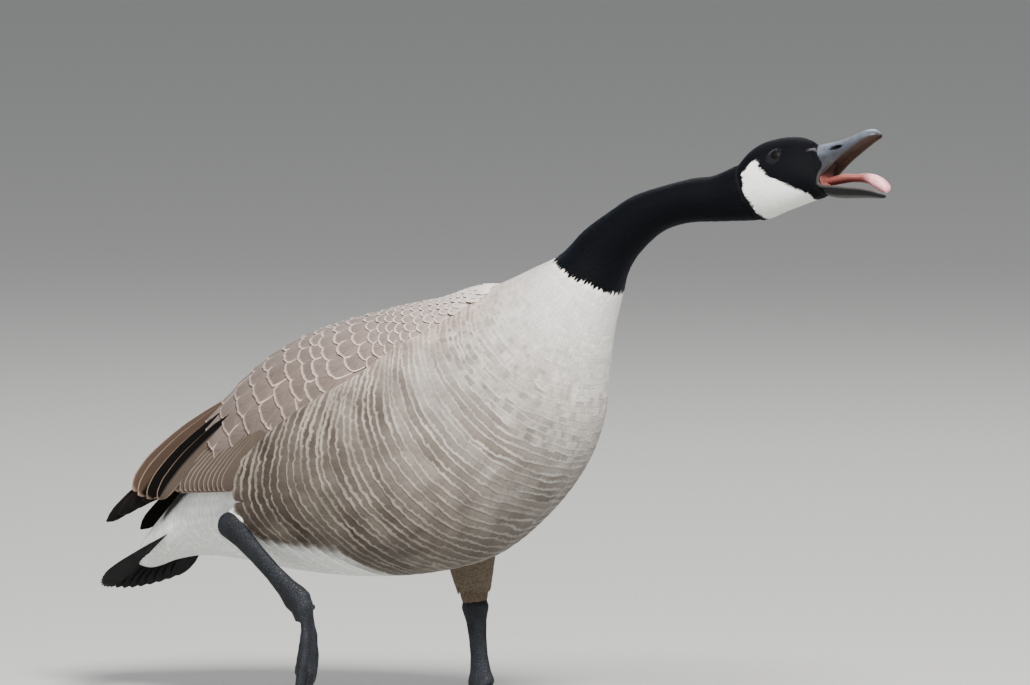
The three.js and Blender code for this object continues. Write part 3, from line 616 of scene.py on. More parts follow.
def painted(name, roughness, scale, bump_height, uneven=0.3, shine=0.2, gloss=0.0, depth=0.0):
    """Surface with its markings in the mesh, under fine patches and a fine bump."""
    paint = Paint(name)
    grain = paint.grain(scale, 4.0)
    tone = paint.scaled(paint.attribute("coat")["Color"], paint.spread(grain, 1 - uneven, 1 + uneven / 2))
    return paint.finish(tone, grain, 0.5, bump_height, {
        "Roughness": roughness, "Specular IOR Level": shine, "Coat Weight": gloss, "Coat Roughness": 0.2,
        "Subsurface Weight": depth, "Subsurface Scale": 0.003})


def mottled(name, dark, light, roughness, scale, bump_height, cells=0.0):
    """Horn, hide or flesh: two tones in soft patches, with scales where cells is above 0."""
    paint = Paint(name)
    height = paint.grain(scale, 5.0)
    colour = paint.ramp(height, srgb(*dark), srgb(*light), (0.3, 0.72))
    if cells:
        place = paint.add("TexCoord", {}).outputs["Object"]
        plates = paint.add("TexVoronoi", {"Scale": cells, "Vector": place}, feature="DISTANCE_TO_EDGE")
        height = paint.spread(plates.outputs["Distance"], 0.0, 1.0, 0.0, 0.16)
        colour = paint.scaled(colour, paint.spread(height, 0.45, 1.0, 0.0, 1.0))
    return paint.finish(
        colour, height, 0.6, bump_height, {"Roughness": roughness, "Specular IOR Level": 0.28})


black_coat = plumage("black_plumage", 0.62, 0.02, (0.5, 0.65, 1), 0.3, shine=0.05)
pale_coat = plumage("body_plumage", 0.8, 0.05, (1, 0.97, 0.92), 0.26, barbs=1.6, ragged=0.2, deepen=0.26)
wing_coat = plumage(
    "wing_plumage", 0.66, 0.05, (1, 0.95, 0.9), 0.42, barbs=2.6, ragged=0.03, wrap=0.9, power=20.0,
    deepen=0.3)
quill_coat = plumage(
    "quill_plumage", 0.5, 0.02, (0.9, 0.95, 1), 0.3, barbs=3.4, ragged=0.03, wrap=0.95, power=14.0,
    shine=0.04)
skin_coat = painted("under_down", 0.85, 420.0, 0.0005)
bill_horn = painted("bill_horn", 0.5, 170.0, 0.00025, gloss=0.04)
mouth_flesh = painted("mouth_flesh", 0.55, 260.0, 0.0003, shine=0.12, gloss=0.04, depth=0.05)
tongue_flesh = painted("tongue_flesh", 0.45, 260.0, 0.0003, uneven=0.2, shine=0.3, gloss=0.12, depth=0.08)
lamella_horn = mottled("lamella_horn", (58, 40, 30), (126, 92, 68), 0.5, 300.0, 0.0002)
leg_hide = mottled("leg_hide", (10, 12, 15), (30, 35, 44), 0.6, 90.0, 0.0005, cells=430.0)
spine_flesh = mottled("spine_flesh", (150, 84, 78), (196, 130, 124), 0.4, 300.0, 0.0002)
claw_horn = mottled("claw_horn", (18, 17, 18), (48, 44, 42), 0.35, 200.0, 0.0002)
lid_hide = mottled("lid_hide", (26, 28, 33), (50, 53, 61), 0.9, 500.0, 0.0002)


# Body coat
def flank_place(row, angle, height=0.0):
    return body_point(row, angle, height + flank_height(row, angle, rear=15.5))


def wing_place(row, angle, height=0.0):
    return body_point(row, angle, height + wing_height(row, angle))


def row_length(row):
    """Millimetres per row at the side of the body."""
    p = body_base(np.array([row - 0.25, row + 0.25]), np.array([90.0, 90.0]))
    return 2 * float(np.linalg.norm(p[1] - p[0]))


def bar_line(level, angles):
    """Rows of body feathers: they lean forward at the back and again under the belly."""
    side = np.abs(angles)
    start = np.interp(level, [8, 10, 12, 14.7, 16], [26, 34, 42, 54, 56])
    back = 1 - ease((side - start) / np.interp(level, [10, 12, 15], [55, 52, 48]))
    strength = np.interp(level, [7, 8.4, 10, 12, 13.2, 14.7, 16], [0.05, 0.25, 0.5, 1.1, 1.2, 1.15, 1.0])
    under = np.interp(level, [6, 9, 12, 15], [0.05, 0.2, 0.55, 0.6]) * ease((side - 98) / 70)
    waver = 0.045 * noise(np.stack([level * 9 + 0 * angles, angles / 14], -1), 1, 9)
    return level - strength * back - under + waver


STAGES = [5, 6.5, 8, 10, 12, 15, 15.5, 20]
EXPOSURES = [2.6, 3.2, 4.3, 6.2, 7.8, 8.4, 5.2, 4.6]
SPACINGS = [2.6, 2.8, 3.4, 5.0, 6.4, 7.0, 6, 5.5]
# Body feathers: length over the space between rows, and width over the space between neighbours
BODY_OVERLAP, BODY_BREADTH = 3.2, 2.1
BODY_LEVELS = (5.3, 19.6)
# Rows that the wing covers, and how far the body feathers reach under its edge, in degrees
COVERED_ROWS = (8.6, 15.2)
WING_OVERLAP = 8
# Where feathers end that belong to the white vent, by row and by angle
VENT_ROWS = ([13.6, 14, 14.8, 15.34], [154, 141, 134, 124])
FLANK_FIRST_ROW = 8.6


def body_exposure(level):
    return float(np.interp(level, STAGES, EXPOSURES))


def body_spacing(row, angle):
    return np.interp(row, STAGES, SPACINGS)


levels = levels_for(*BODY_LEVELS, body_exposure, row_length)
roots, headings = rows_of_roots(flank_place, levels, bar_line, (-180, 180), body_spacing)
row, side = roots[:, 0], np.abs(roots[:, 1])
covered = (side < wing_edge(row) - WING_OVERLAP) & (row > COVERED_ROWS[0]) & (row < COVERED_ROWS[1])
keep = ~covered & (row >= neck_line(roots[:, 1]) - 0.06)
roots, headings, side = roots[keep], headings[keep], side[keep]
row = roots[:, 0]
length = np.interp(row, STAGES, EXPOSURES) * BODY_OVERLAP * (1 + 0.04 * (rng.random(len(roots)) - 0.5))
width = body_spacing(row, 0) * BODY_BREADTH
low = -0.42 - np.interp(row, [7, 11], [0.02, 0.04]) * length
high = -0.32 + 0.06 * rng.random(len(roots))
ends = row + length / np.array([row_length(at) for at in row])
vent = (ends > VENT_ROWS[0][-1]) | ((ends > VENT_ROWS[0][0]) & (side > np.interp(ends, *VENT_ROWS)))
vent &= side > 60
low[vent] = np.interp(ends[vent], [14.6, 15.6], [-1.2, -0.6])
front = row < FLANK_FIRST_ROW
right = roots[:, 1] < 0
for label, own in (("breast", front & ~vent), ("flank_right", ~front & ~vent & right),
                   ("flank_left", ~front & ~vent & ~right), ("vent", vent)):
    if label == "vent":
        place, slot, shape = body_point, "white_feathers", {"ridge": 0.0, "rounding": 0.12, "sag": 0.06}
        wear = 0.1
    else:
        place, slot, shape = flank_place, "breast_feathers", {"ridge": 0.06, "rounding": 0.05, "sag": 0.2}
        wear = np.interp(row[own], [6, 8.5, 11, 13], [1.0, 0.85, 0.6, 0.4])
    batch = lay_feathers(
        place, roots[own], headings[own], length[own], width[own], (low[own], high[own]), BROAD,
        columns=5, ragged=0.018, fade=wear, fade_wide=roots[own, :1] < 9.4, **shape)
    feather_piece(f"coat_{label}", [batch], pale_coat, slot)

# Neck coat
NECK_STAGES = [0, 5, 6.3]
neck_levels = levels_for(
    0.15, 6.3, lambda level: float(np.interp(level, NECK_STAGES, [1.7, 2.2, 2.6])), row_length)
roots, headings = rows_of_roots(
    body_point, neck_levels, level_row, (-180, 180),
    lambda row, angle: np.interp(row, NECK_STAGES, [1.8, 2.2, 2.6]), jitter=0.35)
keep = roots[:, 0] < neck_line(roots[:, 1]) + 0.02 * rng.standard_normal(len(roots)) - 0.08
roots, headings = roots[keep], headings[keep]
row, count = roots[:, 0], len(roots)
length = np.interp(row, NECK_STAGES, [6, 7.5, 7]) * (1 + 0.35 * (rng.random(count) - 0.5))
neck_coat = lay_feathers(
    body_point, roots, headings, length, np.interp(row, [0, 6.3], [2.1, 2.6]),
    (np.interp(row, [5.2, 5.5], [-0.9, -0.3]), -0.15 + 0.12 * rng.random(count)), SHORT, ridge=0.12,
    marks=plain_marks(count, BLACK, BLACK, 0))
feather_piece("coat_neck", [neck_coat], black_coat, "black_feathers")

# Head coat, which leaves the eyes and the bill free
HEAD_LEVELS = np.linspace(0.02, 7.95, 78)
HEAD_SPACING, HEAD_FEATHER_WIDTH = 1.55, 1.8
roots, headings = rows_of_roots(
    head_point, HEAD_LEVELS, level_row, (-180, 180), lambda row, angle: HEAD_SPACING + 0 * row, jitter=0.4)
eye_front = np.array(EYE["at"]) + (0, 4, 0)
eye_spots = np.array([head_pose(eye_front * (1, s, 1)) for s in (-1, 1)])
p = head_point(roots[:, 0], roots[:, 1])
near_eye = np.linalg.norm(p[:, None] - eye_spots[None], axis=-1).min(-1)
straight = section_point(blend_rows(HEAD_ROWS, roots[:, 0]), roots[:, 1])
keep = (near_eye > EYE["bare"]) & (straight[:, 0] < np.interp(straight[:, 2], *BILL_EDGE))
roots, headings = roots[keep], headings[keep]
count = len(roots)
length = np.interp(roots[:, 0], [0, 3, 7], [5.6, 4.0, 2.4]) * (1 + 0.3 * (rng.random(count) - 0.5))
head_coat = lay_feathers(
    head_point, roots, -headings, length, np.full(count, HEAD_FEATHER_WIDTH),
    (np.full(count, -0.55), 0.04 * rng.random(count)), SHORT, ridge=0.04,
    marks=head_marks(roots[:, 0], roots[:, 1]))
feather_piece("coat_head", [head_coat], black_coat, "black_feathers")


# Scapulars and coverts
COVERT_BASES = srgb((206, 196, 190), (164, 149, 142), (135, 120, 113), (112, 99, 92))
COVERT_TIPS = srgb((236, 228, 222), (222, 203, 193), (190, 170, 156))
COVERT_OVERLAP, COVERT_BREADTH = 2.6, 1.3
LONGEST_COVERT = 58


def tier_line(level, angles):
    return level - 0.012 * (np.abs(angles) - 45)


def covert_exposure(level):
    return float(np.interp(level, [7.6, 9, 10.5, 12, 13.5, 14.8, 15.6], [5, 7, 10, 14, 21, 28, 34]))


def covert_spacing(row, angle):
    return np.interp(row, [7.6, 9, 10.5, 12, 13.5, 14.8, 16], [6.5, 9, 12, 16, 21, 25, 26])


def covert_row(number, level, side_sign):
    """One row across a wing. Every second row starts a little farther over the back."""
    reach = min(COVERT_OVERLAP * covert_exposure(level), LONGEST_COVERT)
    span = (-3.0 - 2.5 * (number % 2), float(wing_edge(np.array(level)) * 1.02 + 1.5))
    roots, headings = rows_of_roots(
        wing_place, [level - reach / row_length(level)], tier_line, span,
        lambda row, angle: covert_spacing(np.full_like(angle, level), angle), jitter=0.1)
    roots[:, 1] *= side_sign
    headings[:, 1] *= side_sign
    count = len(roots)
    base = graded(level, [8.2, 9.6, 10.8, 13.5], COVERT_BASES) * (1 + 0.16 * (rng.random((count, 1)) - 0.5))
    tip = graded(level, [8.2, 10.5, 14], COVERT_TIPS) * (1 + 0.1 * (rng.random((count, 1)) - 0.5))
    fringe = np.full(count, float(np.interp(level, [8, 12, 15.6], [0.095, 0.048, 0.027])))
    high = 0.7 + 0.5 * rng.random(count)
    return lay_feathers(
        wing_place, roots, headings, np.full(count, reach) * (1 + 0.05 * (rng.random(count) - 0.5)),
        covert_spacing(np.full(count, level), 0) * COVERT_BREADTH, (np.full(count, -2.5), high), SQUARE,
        columns=9, ridge=0.15, rounding=float(np.interp(level, [9, 12, 14], [0.18, 0.08, 0.03])),
        ragged=0.012, sag=0.5, marks=(base, tip, fringe))


tip_levels = levels_for(8.3, 15.7, covert_exposure, row_length)
wing_batches = [[covert_row(*tier, side_sign) for tier in enumerate(tip_levels)] for side_sign in (-1, 1)]


# Quills: long vanes along curves
QUILL_COLUMNS, QUILL_STATIONS = 13, 24
SHAFT_HEIGHT = 0.5
FLIGHT = ([0, 0.12, 0.5, 0.8, 0.92, 0.97, 1.0], [0.45, 0.8, 1.0, 0.95, 0.7, 0.42, 0.08])


def quill(root, bend, tip, normal, width, tones, fringe, curve=0.12, tilt=0.0, inner=None, web=1):
    """One long feather as a closed vane, with its shaft as a ridge and its sides curved down."""
    t = np.linspace(0, 1, QUILL_STATIONS) ** 0.85
    root, bend, tip, up = (np.array(p, float) for p in (root, bend, tip, normal))
    centre = ((1 - t) ** 2)[:, None] * root + (2 * t * (1 - t))[:, None] * bend + (t ** 2)[:, None] * tip
    ahead = unit(np.gradient(centre, axis=0))
    up = unit(up - ahead * (ahead @ up)[:, None])
    side = np.cross(up, ahead)
    w = np.linspace(-1, 1, QUILL_COLUMNS)
    half = 0.5 * width * np.interp(t, *FLIGHT)[:, None] * np.ones_like(w)
    shaft = SHAFT_HEIGHT * np.exp(-(w / 0.13) ** 2) * (1 - 0.75 * t)[:, None]
    drop = -curve * half * (w ** 2) + shaft + tilt * w
    verts = centre[:, None] + side[:, None] * (half * w)[..., None] + up[:, None] * drop[..., None]
    quads, caps = strip_faces(1, QUILL_STATIONS, QUILL_COLUMNS)
    tag = rng.random()
    vane = np.stack(np.broadcast_arrays(w[None, :], t[:, None], np.full(half.shape, tag)), -1)
    dark, tip_tone = tones
    count = half.size
    dark = dark * (1 + 0.22 * (rng.random() - 0.5))
    if inner is not None:
        inside = ease(web * w / 0.3 + 0.5)[None, :] * np.ones((QUILL_STATIONS, 1))
        dark = blend(dark, inner, inside).reshape(-1, 3)
    return {
        "verts": verts.reshape(-1, 3), "quads": quads, "caps": caps, "vane": vane.reshape(-1, 3),
        "coat": np.concatenate([np.broadcast_to(dark, (count, 3)), np.ones((count, 1))], 1),
        "edge": np.tile(np.append(tip_tone, fringe), (count, 1)),
        "roots": np.array([[15 + 4 * tag, 90 * np.sign(root[1]) + 60 * (rng.random() - 0.5)]]), "per": count,
    }


def fan(count, first, last, normals, widths, side, stack=0, **options):
    """A tier of quills between its first and last."""
    out = []
    flip = np.array([1, side, 1])
    first, last, normals = np.array(first, float), np.array(last, float), np.array(normals, float)
    for number in range(count):
        t = number / (count - 1)
        normal = mix(normals[0], normals[1], t) * flip
        spots = mix(first, last, t) * flip + unit(normal) * stack * number
        out.append(quill(*spots, normal, mix(widths[0], widths[1], t), **options))
    return out


TERTIAL = (srgb(74, 59, 49), srgb(132, 112, 94))
SECONDARY = (srgb(88, 77, 69), srgb(136, 120, 108))
PRIMARY = (srgb(16, 13, 11), srgb(34, 26, 21))
# Near black for the lower tertials and some inner webs: partly the webs' own dark colour, partly painted
# shade in the gaps between tertials
DARK_WEB_AND_GAP_SHADE = srgb(10, 8, 7)
TERTIAL_LINES = [
    [(-150, 12, 270), (-236, 10, 226), (-278, 9, 186), 36],
    [(-172, 26, 268), (-258, 23, 227), (-298, 21, 175), 34],
    [(-176, 38, 262), (-252, 37, 219), (-287, 31, 172), 25],
    [(-180, 50, 254), (-243, 50, 211), (-272, 43, 171), 19],
    [(-182, 61, 246), (-234, 62, 204), (-256, 54, 172), 15],
]
PRIMARY_COUNT, SECONDARY_COUNT = 4, 11
# First and last feather of each tier: root, bend and tip
SECONDARIES = (
    [(-176, 58, 236), (-208, 62, 207), (-240, 53, 180)],
    [(-138, 84, 236), (-163, 88, 206), (-180, 80, 185)],
)
PRIMARIES = {
    -1: ([(-196, 38, 228), (-262, 26, 198), (-328, 14, 147)],
         [(-192, 50, 224), (-244, 38, 194), (-286, 26, 166)]),
    1: ([(-196, 36, 226), (-258, 34, 190), (-314, 22, 138)],
        [(-192, 50, 222), (-244, 46, 178), (-280, 36, 138)]),
}
for side_sign, batches, node in zip((-1, 1), wing_batches, ("wing_right", "wing_left")):
    flip = np.array([1, side_sign, 1])
    quills = fan(
        PRIMARY_COUNT, *PRIMARIES[side_sign], [(0.35, 0.75, 0.55), (0.3, 0.85, 0.4)], (19, 18), side_sign,
        tones=PRIMARY, fringe=0.01, stack=1.6)
    quills += fan(
        SECONDARY_COUNT, *SECONDARIES, [(0.15, 0.95, 0.25), (0.1, 0.97, 0.2)], (21, 18), side_sign,
        tones=SECONDARY, fringe=0.018, tilt=side_sign * 0.9)
    for number, (root, bend, tip, width) in enumerate(TERTIAL_LINES, -1):
        normal = mix(np.array([0.35, 0.45, 0.8]), np.array([0.2, 0.92, 0.35]), max(number, 0) / 3) * flip
        # The lower tertials, and the inner half of some, are near black: dark webs with painted shade
        # between the feathers
        quills.append(quill(
            *(np.array(p) * flip for p in (root, bend, tip)), normal, width,
            TERTIAL if number < 2 else (DARK_WEB_AND_GAP_SHADE, TERTIAL[1] * 0.8), 0.02, tilt=side_sign * 1.5,
            inner=(None, DARK_WEB_AND_GAP_SHADE, DARK_WEB_AND_GAP_SHADE, SECONDARY[0], None)[number], web=-side_sign))
    feather_piece(f"{node}_quills", quills, quill_coat, "wing_feathers", (node,))
    feather_piece(f"{node}_coverts", batches, wing_coat, "wing_feathers")

# Tail fan
TAIL = {
    "base": (-238, 0, 164), "pitch": -38, "half_spread": 34, "roll": 7, "inner": 22, "outer": 117.2,
    "shorter_side": 11, "count": 16, "width": 25, "stack": 1.0,
}
TAIL_TONES = (srgb(6, 5, 5), srgb(18, 15, 13))
pitch = math.radians(TAIL["pitch"])
along = np.array([-math.cos(pitch), 0, math.sin(pitch)])
across = turn_matrix(along, TAIL["roll"]) @ np.array([0, 1, 0])
up = np.cross(along, across)
up = up * np.sign(up[2])
tail_quills = []
middle = (TAIL["count"] - 1) / 2
for number in range(TAIL["count"]):
    share = (number - middle) / middle
    turn = share * math.radians(TAIL["half_spread"])
    away = along * math.cos(turn) + across * math.sin(turn)
    base = np.array(TAIL["base"], float) - up * TAIL["stack"] * abs(number - middle)
    start = base + away * TAIL["inner"] - up * 1
    tip = base + away * (TAIL["outer"] - TAIL["shorter_side"] * share * share) - up * 3
    tail_quills.append(quill(
        start, (start + tip) / 2 + up * 1.5, tip, up, TAIL["width"], TAIL_TONES, 0.03, curve=0.1,
        tilt=0.3 * np.sign(share)))
feather_piece("tail_quills", tail_quills, quill_coat, "tail_feathers", ("tail",))


# Skin: one surface under the whole coat
def grid_mesh(points):
    """Closed quads and end triangles over rings of points, shape (rings, sides, 3)."""
    rings, sides = points.shape[:2]
    at = np.arange(rings * sides).reshape(rings, sides)
    nxt = np.roll(at, -1, axis=1)
    quads = np.stack([at[:-1], nxt[:-1], nxt[1:], at[1:]], -1).reshape(-1, 4)
    verts = np.concatenate([points.reshape(-1, 3), points[:1].mean(1), points[-1:].mean(1)])
    first = np.stack([nxt[0], at[0], np.full(sides, rings * sides)], -1)
    final = np.stack([at[-1], nxt[-1], np.full(sides, rings * sides + 1)], -1)
    return verts, quads, np.concatenate([first, final])


def joined_grids(grids):
    verts, quads, tris, offset = [], [], [], 0
    for grid in grids:
        v, q, t = grid_mesh(grid)
        verts.append(v)
        quads.append(q + offset)
        tris.append(t + offset)
        offset += len(v)
    return np.concatenate(verts), np.concatenate(quads), np.concatenate(tris)


def ringed(place, rows, sides, depth):
    angles = np.linspace(-180, 180, sides, endpoint=False)
    r, a = np.meshgrid(rows, angles, indexing="ij")
    return place(r, a, depth(r, a))


def remeshed(name, raw, voxel, smooth):
    """Voxel remesh of closed forms, smoothed, as a new mesh."""
    piece = linked(f"{name}_raw", raw)
    remesh = piece.modifiers.new("remesh", "REMESH")
    remesh.mode = "VOXEL"
    remesh.voxel_size = voxel * MM
    remesh.use_smooth_shade = True
    soften = piece.modifiers.new("soften", "SMOOTH")
    soften.iterations = smooth
    ready = bpy.data.meshes.new_from_object(piece.evaluated_get(bpy.context.evaluated_depsgraph_get()))
    bpy.data.objects.remove(piece)
    bpy.data.meshes.remove(raw)
    ready.name = name
    return ready


def limb_rings(centres, radii, sideways, sides):
    centres, radii = np.array(centres, float), np.array(radii, float)
    ahead = unit(np.gradient(centres, axis=0))
    side = np.array(sideways, float)
    side = unit(side - ahead * (ahead @ side)[:, None])
    front = np.cross(side, ahead)
    turn = circle(sides)
    return centres[:, None] + front[:, None] * (radii[:, 0][:, None] * np.cos(turn))[..., None] \
        + side[:, None] * (radii[:, 1][:, None] * np.sin(turn))[..., None]


# Thighs from hip to heel: how much slimmer than the radii, the skin's share of the coat, how far down
# feathers grow, their rows on the unwrap, the skin's tone and the feathers' marks
LEGS = {
    "right": {"hip": (-140, -58, 186), "ankle": (-179, -74, 158), "slim": 6.5, "skin": 0.94, "coat_end": 0.4,
              "unwrap_row": 8, "tone": WHITE, "marks": (WHITE, WHITE, 0.2)},
    "left": {"hip": (-10, 42, 158), "ankle": (-3, 42, 86), "slim": 0, "skin": 0.86, "coat_end": 0.76,
             "unwrap_row": 14, "tone": srgb(92, 80, 66),
             "marks": (srgb(98, 87, 72), srgb(122, 110, 94), 0.16)},
}
THIGH_SHARES = [0, 0.35, 0.7, 1]
THIGH_RADII = np.array([[27, 20], [24, 18], [18, 14], [12.5, 10.5]])
SKIN_VOXEL, SKIN_SMOOTHING = 2.6, 4
SKIN_FLANK_SHARE = 0.75


def thigh_base(leg):
    hip, ankle = np.array(leg["hip"], float), np.array(leg["ankle"], float)
    radii = THIGH_RADII - leg["slim"] * np.array(THIGH_SHARES)[:, None]
    ahead = unit(ankle - hip)
    side = unit(np.array([0, 1, 0]) - ahead * ahead[1])
    front = np.cross(side, ahead)

    def base(row, angle):
        t = np.asarray(row, float)
        radius = graded(t, THIGH_SHARES, radii)
        turn = np.radians(angle)[..., None]
        centre = hip + (ankle - hip) * t[..., None]
        return centre + front * (radius[..., :1] * np.cos(turn)) + side * (radius[..., 1:] * np.sin(turn))
    return base


def skin_depth(row, angle):
    return -np.interp(row, [0, 5.4, 6.6, 9, 20], [1.4, 1.8, 3.2, SKIN_DEPTH, SKIN_DEPTH])


def torso_skin(row, angle, height=0.0):
    return body_point(row, angle, height + SKIN_FLANK_SHARE * flank_height(row, angle, rear=14.6))


def crossed(rows, angles):
    return np.meshgrid(rows, angles, indexing="ij")


skin_grids = [
    ringed(torso_skin, np.linspace(0, 19.6, 160), 96, skin_depth),
    ringed(head_point, np.linspace(0, 6.95, 60), 72, lambda r, a: -0.7 + 0 * r),
]
for leg in LEGS.values():
    coat_grid = thigh_base(leg)(*crossed(np.linspace(0, 1, 16), np.linspace(0, 360, 32, endpoint=False)))
    centre = coat_grid.mean(1, keepdims=True)
    skin_grids.append(centre + (coat_grid - centre) * leg["skin"])
skin = remeshed("skin", new_mesh("skin_raw", *joined_grids(skin_grids)), SKIN_VOXEL, SKIN_SMOOTHING)

# The skin takes its markings, with the painted shade under the belly and on the lower cheek, from the
# nearest place on the coat's own functions
r, a = crossed(np.linspace(0, 20, 240), np.linspace(-180, 179, 120))
dark, tip, fringe = body_marks(r.reshape(-1), a.reshape(-1))
spots, tones = [body_point(r, a).reshape(-1, 3)], [blend(dark, tip, np.full(dark.shape[:1], 0.35))]
r, a = crossed(np.linspace(0.1, 7, 90), np.linspace(-180, 179, 120))
spots.append(head_point(r, a).reshape(-1, 3))
tones.append(head_marks(r.reshape(-1), a.reshape(-1))[0])
turn, share = np.meshgrid(np.arange(0, 360, 20), np.linspace(0.1, 1, 12))
for leg in LEGS.values():
    spots.append(thigh_base(leg)(share.reshape(-1), turn.reshape(-1)))
    tones.append(np.broadcast_to(leg["tone"], spots[-1].shape))
spots, tones = np.concatenate(spots), np.concatenate(tones)
tree = KDTree(len(spots))
for number, spot in enumerate((spots - FRAME_SHIFT) * MM):
    tree.insert(spot, number)
tree.balance()
nearest = np.array([tree.find(v.co)[1] for v in skin.vertices])
colour = np.concatenate([tones[nearest], np.ones((len(nearest), 1))], 1)
layer = skin.attributes.new("coat", "FLOAT_COLOR", "POINT")
layer.data.foreach_set("color", colour.astype(np.float32).reshape(-1))
add_piece("skin", skin, skin_coat, "breast_feathers",
          ("head", "neck_upper", "neck_lower", "torso", "thigh_right", "thigh_left"))

# Thigh feathers
THIGH_FEATHER = {"step": 2.0, "spacing": 2.6, "length": 8.5, "width": 3.4}
thigh_batches = []
for leg in LEGS.values():
    place = surface(thigh_base(leg), 1)
    reach = float(np.linalg.norm(np.array(leg["hip"]) - np.array(leg["ankle"])))
    roots, headings = rows_of_roots(
        place, np.arange(0.05, leg["coat_end"], THIGH_FEATHER["step"] / reach), level_row, (0, 360),
        lambda row, angle: THIGH_FEATHER["spacing"] + 0 * row, jitter=0.3)
    count = len(roots)
    batch = lay_feathers(
        place, roots, headings,
        np.full(count, THIGH_FEATHER["length"]), np.full(count, THIGH_FEATHER["width"]),
        (np.full(count, -1.0), -0.25 + 0.1 * rng.random(count)), BROAD,
        ridge=0.05, rounding=0.12, ragged=0.12, sag=0.1, marks=plain_marks(count, *leg["marks"]))
    batch["roots"] = np.stack([leg["unwrap_row"] + 4 * roots[:, 0], roots[:, 1] - 180], -1)
    thigh_batches.append(batch)
feather_piece("coat_thighs", thigh_batches, pale_coat, "breast_feathers")

# Bill, in the same rows as its solids: culmen x, z, tomium x, z, half width
UPPER_BILL = np.array([
    [340.5, 491.6, 349.8, 463.5, 12.6], [348, 493.3, 357, 471.5, 12.4], [357, 495.3, 365, 480.3, 12],
    [366, 498, 373, 487.3, 11.5], [375, 502, 380.8, 493.6, 10.8], [384, 506, 388, 498.6, 9.4],
    [391, 506.6, 393.5, 501, 6.6], [395.3, 504, 396.2, 501.6, 2.6],
])
LOWER_BILL = np.array([
    [351.8, 456, 354.8, 448.6, 11.3], [362, 455.6, 362.6, 447.8, 10.9], [375, 455, 375, 448, 10],
    [388, 454.2, 388, 448.4, 8.6], [398, 452.8, 398, 448.2, 6.4], [404, 451.5, 404, 448.1, 3.8],
    [406.4, 450.4, 406.4, 448.9, 1.4],
])
TONGUE = np.array([
    [349.5, 463.5, 351.5, 457.2, 5.2], [368, 468.2, 369, 460.4, 6], [378, 468, 378, 461.2, 6],
    [388, 469, 387.5, 460.4, 6.4], [397, 468, 396, 456.6, 6.8], [404, 464.6, 402.2, 453.9, 6.2],
    [408.6, 460.2, 406.2, 452.8, 4.4], [410, 457, 408.6, 453.8, 1.5],
])
UPPER_PROFILE = np.array([
    [1, 0], [0.98, 0.28], [0.86, 0.6], [0.6, 0.86], [0.28, 0.98], [0, 1], [-0.28, 0.98], [-0.6, 0.86],
    [-0.86, 0.6], [-0.98, 0.28], [-1, 0], [-0.84, 0.03], [-0.66, 0.24], [-0.34, 0.36], [0, 0.4],
    [0.34, 0.36], [0.66, 0.24], [0.84, 0.03],
])
LOWER_PROFILE = np.array([
    [1, 1], [0.96, 0.5], [0.72, 0.14], [0.36, 0.02], [0, 0], [-0.36, 0.02], [-0.72, 0.14], [-0.96, 0.5],
    [-1, 1], [-0.8, 1], [-0.72, 0.62], [-0.4, 0.42], [0, 0.38], [0.4, 0.42], [0.72, 0.62], [0.8, 1],
])
UPPER_STEPS, LOWER_STEPS = 8, 4
NOSTRIL = {"at": (360, 11.2, 488.6), "size": (6.8, 3.4, 2.2), "pitch": 13, "depth": 3.0, "rim": 0.3}


def smooth_loop(profile, times, sharp):
    """Finer closed profile: curved between points, but straight at the sharp ones."""
    count = len(profile)
    out = []
    for i in range(count):
        p = [profile[(i + k) % count] for k in (-1, 0, 1, 2)]
        if i in sharp:
            p[0] = 2 * p[1] - p[2]
        if (i + 1) % count in sharp:
            p[3] = 2 * p[2] - p[1]
        for t in np.arange(times) / times:
            out.append(0.5 * (2 * p[1] + (p[2] - p[0]) * t + (2 * p[0] - 5 * p[1] + 4 * p[2] - p[3]) * t * t
                              + (3 * p[1] - p[0] - 3 * p[2] + p[3]) * t ** 3))
    return np.array(out)


def bill_grid(rows, profile, count):
    values = blend_rows(rows, np.linspace(0, len(rows) - 1, count))
    top_x, top_z, low_x, low_z, width = (values[:, k][:, None] for k in range(5))
    out, high = profile[:, 0][None], profile[:, 1][None]
    return np.stack([mix(low_x, top_x, high), width * out, mix(low_z, top_z, high)], -1)


def nostril_reach(p, s):
    """How far points lie from a nostril's middle, in its own radii, and which of them are near it."""
    rel = (p - np.array(NOSTRIL["at"]) * (1, s, 1)) @ turn_matrix((0, 1, 0), NOSTRIL["pitch"]).T
    across, high = (rel[..., k] / NOSTRIL["size"][k] for k in (0, 2))
    return np.sqrt(across ** 2 + high ** 2), (np.sign(p[..., 1]) == s) & (np.abs(rel[..., 1]) < 7)


def dent_nostrils(p):
    """Sinks the nostrils into the upper bill, with a soft rim."""
    for s in (-1, 1):
        reach, near = nostril_reach(p, s)
        sink = NOSTRIL["depth"] * (1 - ease((reach - 0.45) / 0.5))
        sink = sink - NOSTRIL["rim"] * np.exp(-((reach - 1.25) / 0.25) ** 2)
        p = p - np.array([0, s, 0.25]) * np.where(near, sink, 0)[..., None]
    return p


def posed(grids):
    return [head_pose(grid) for grid in grids]


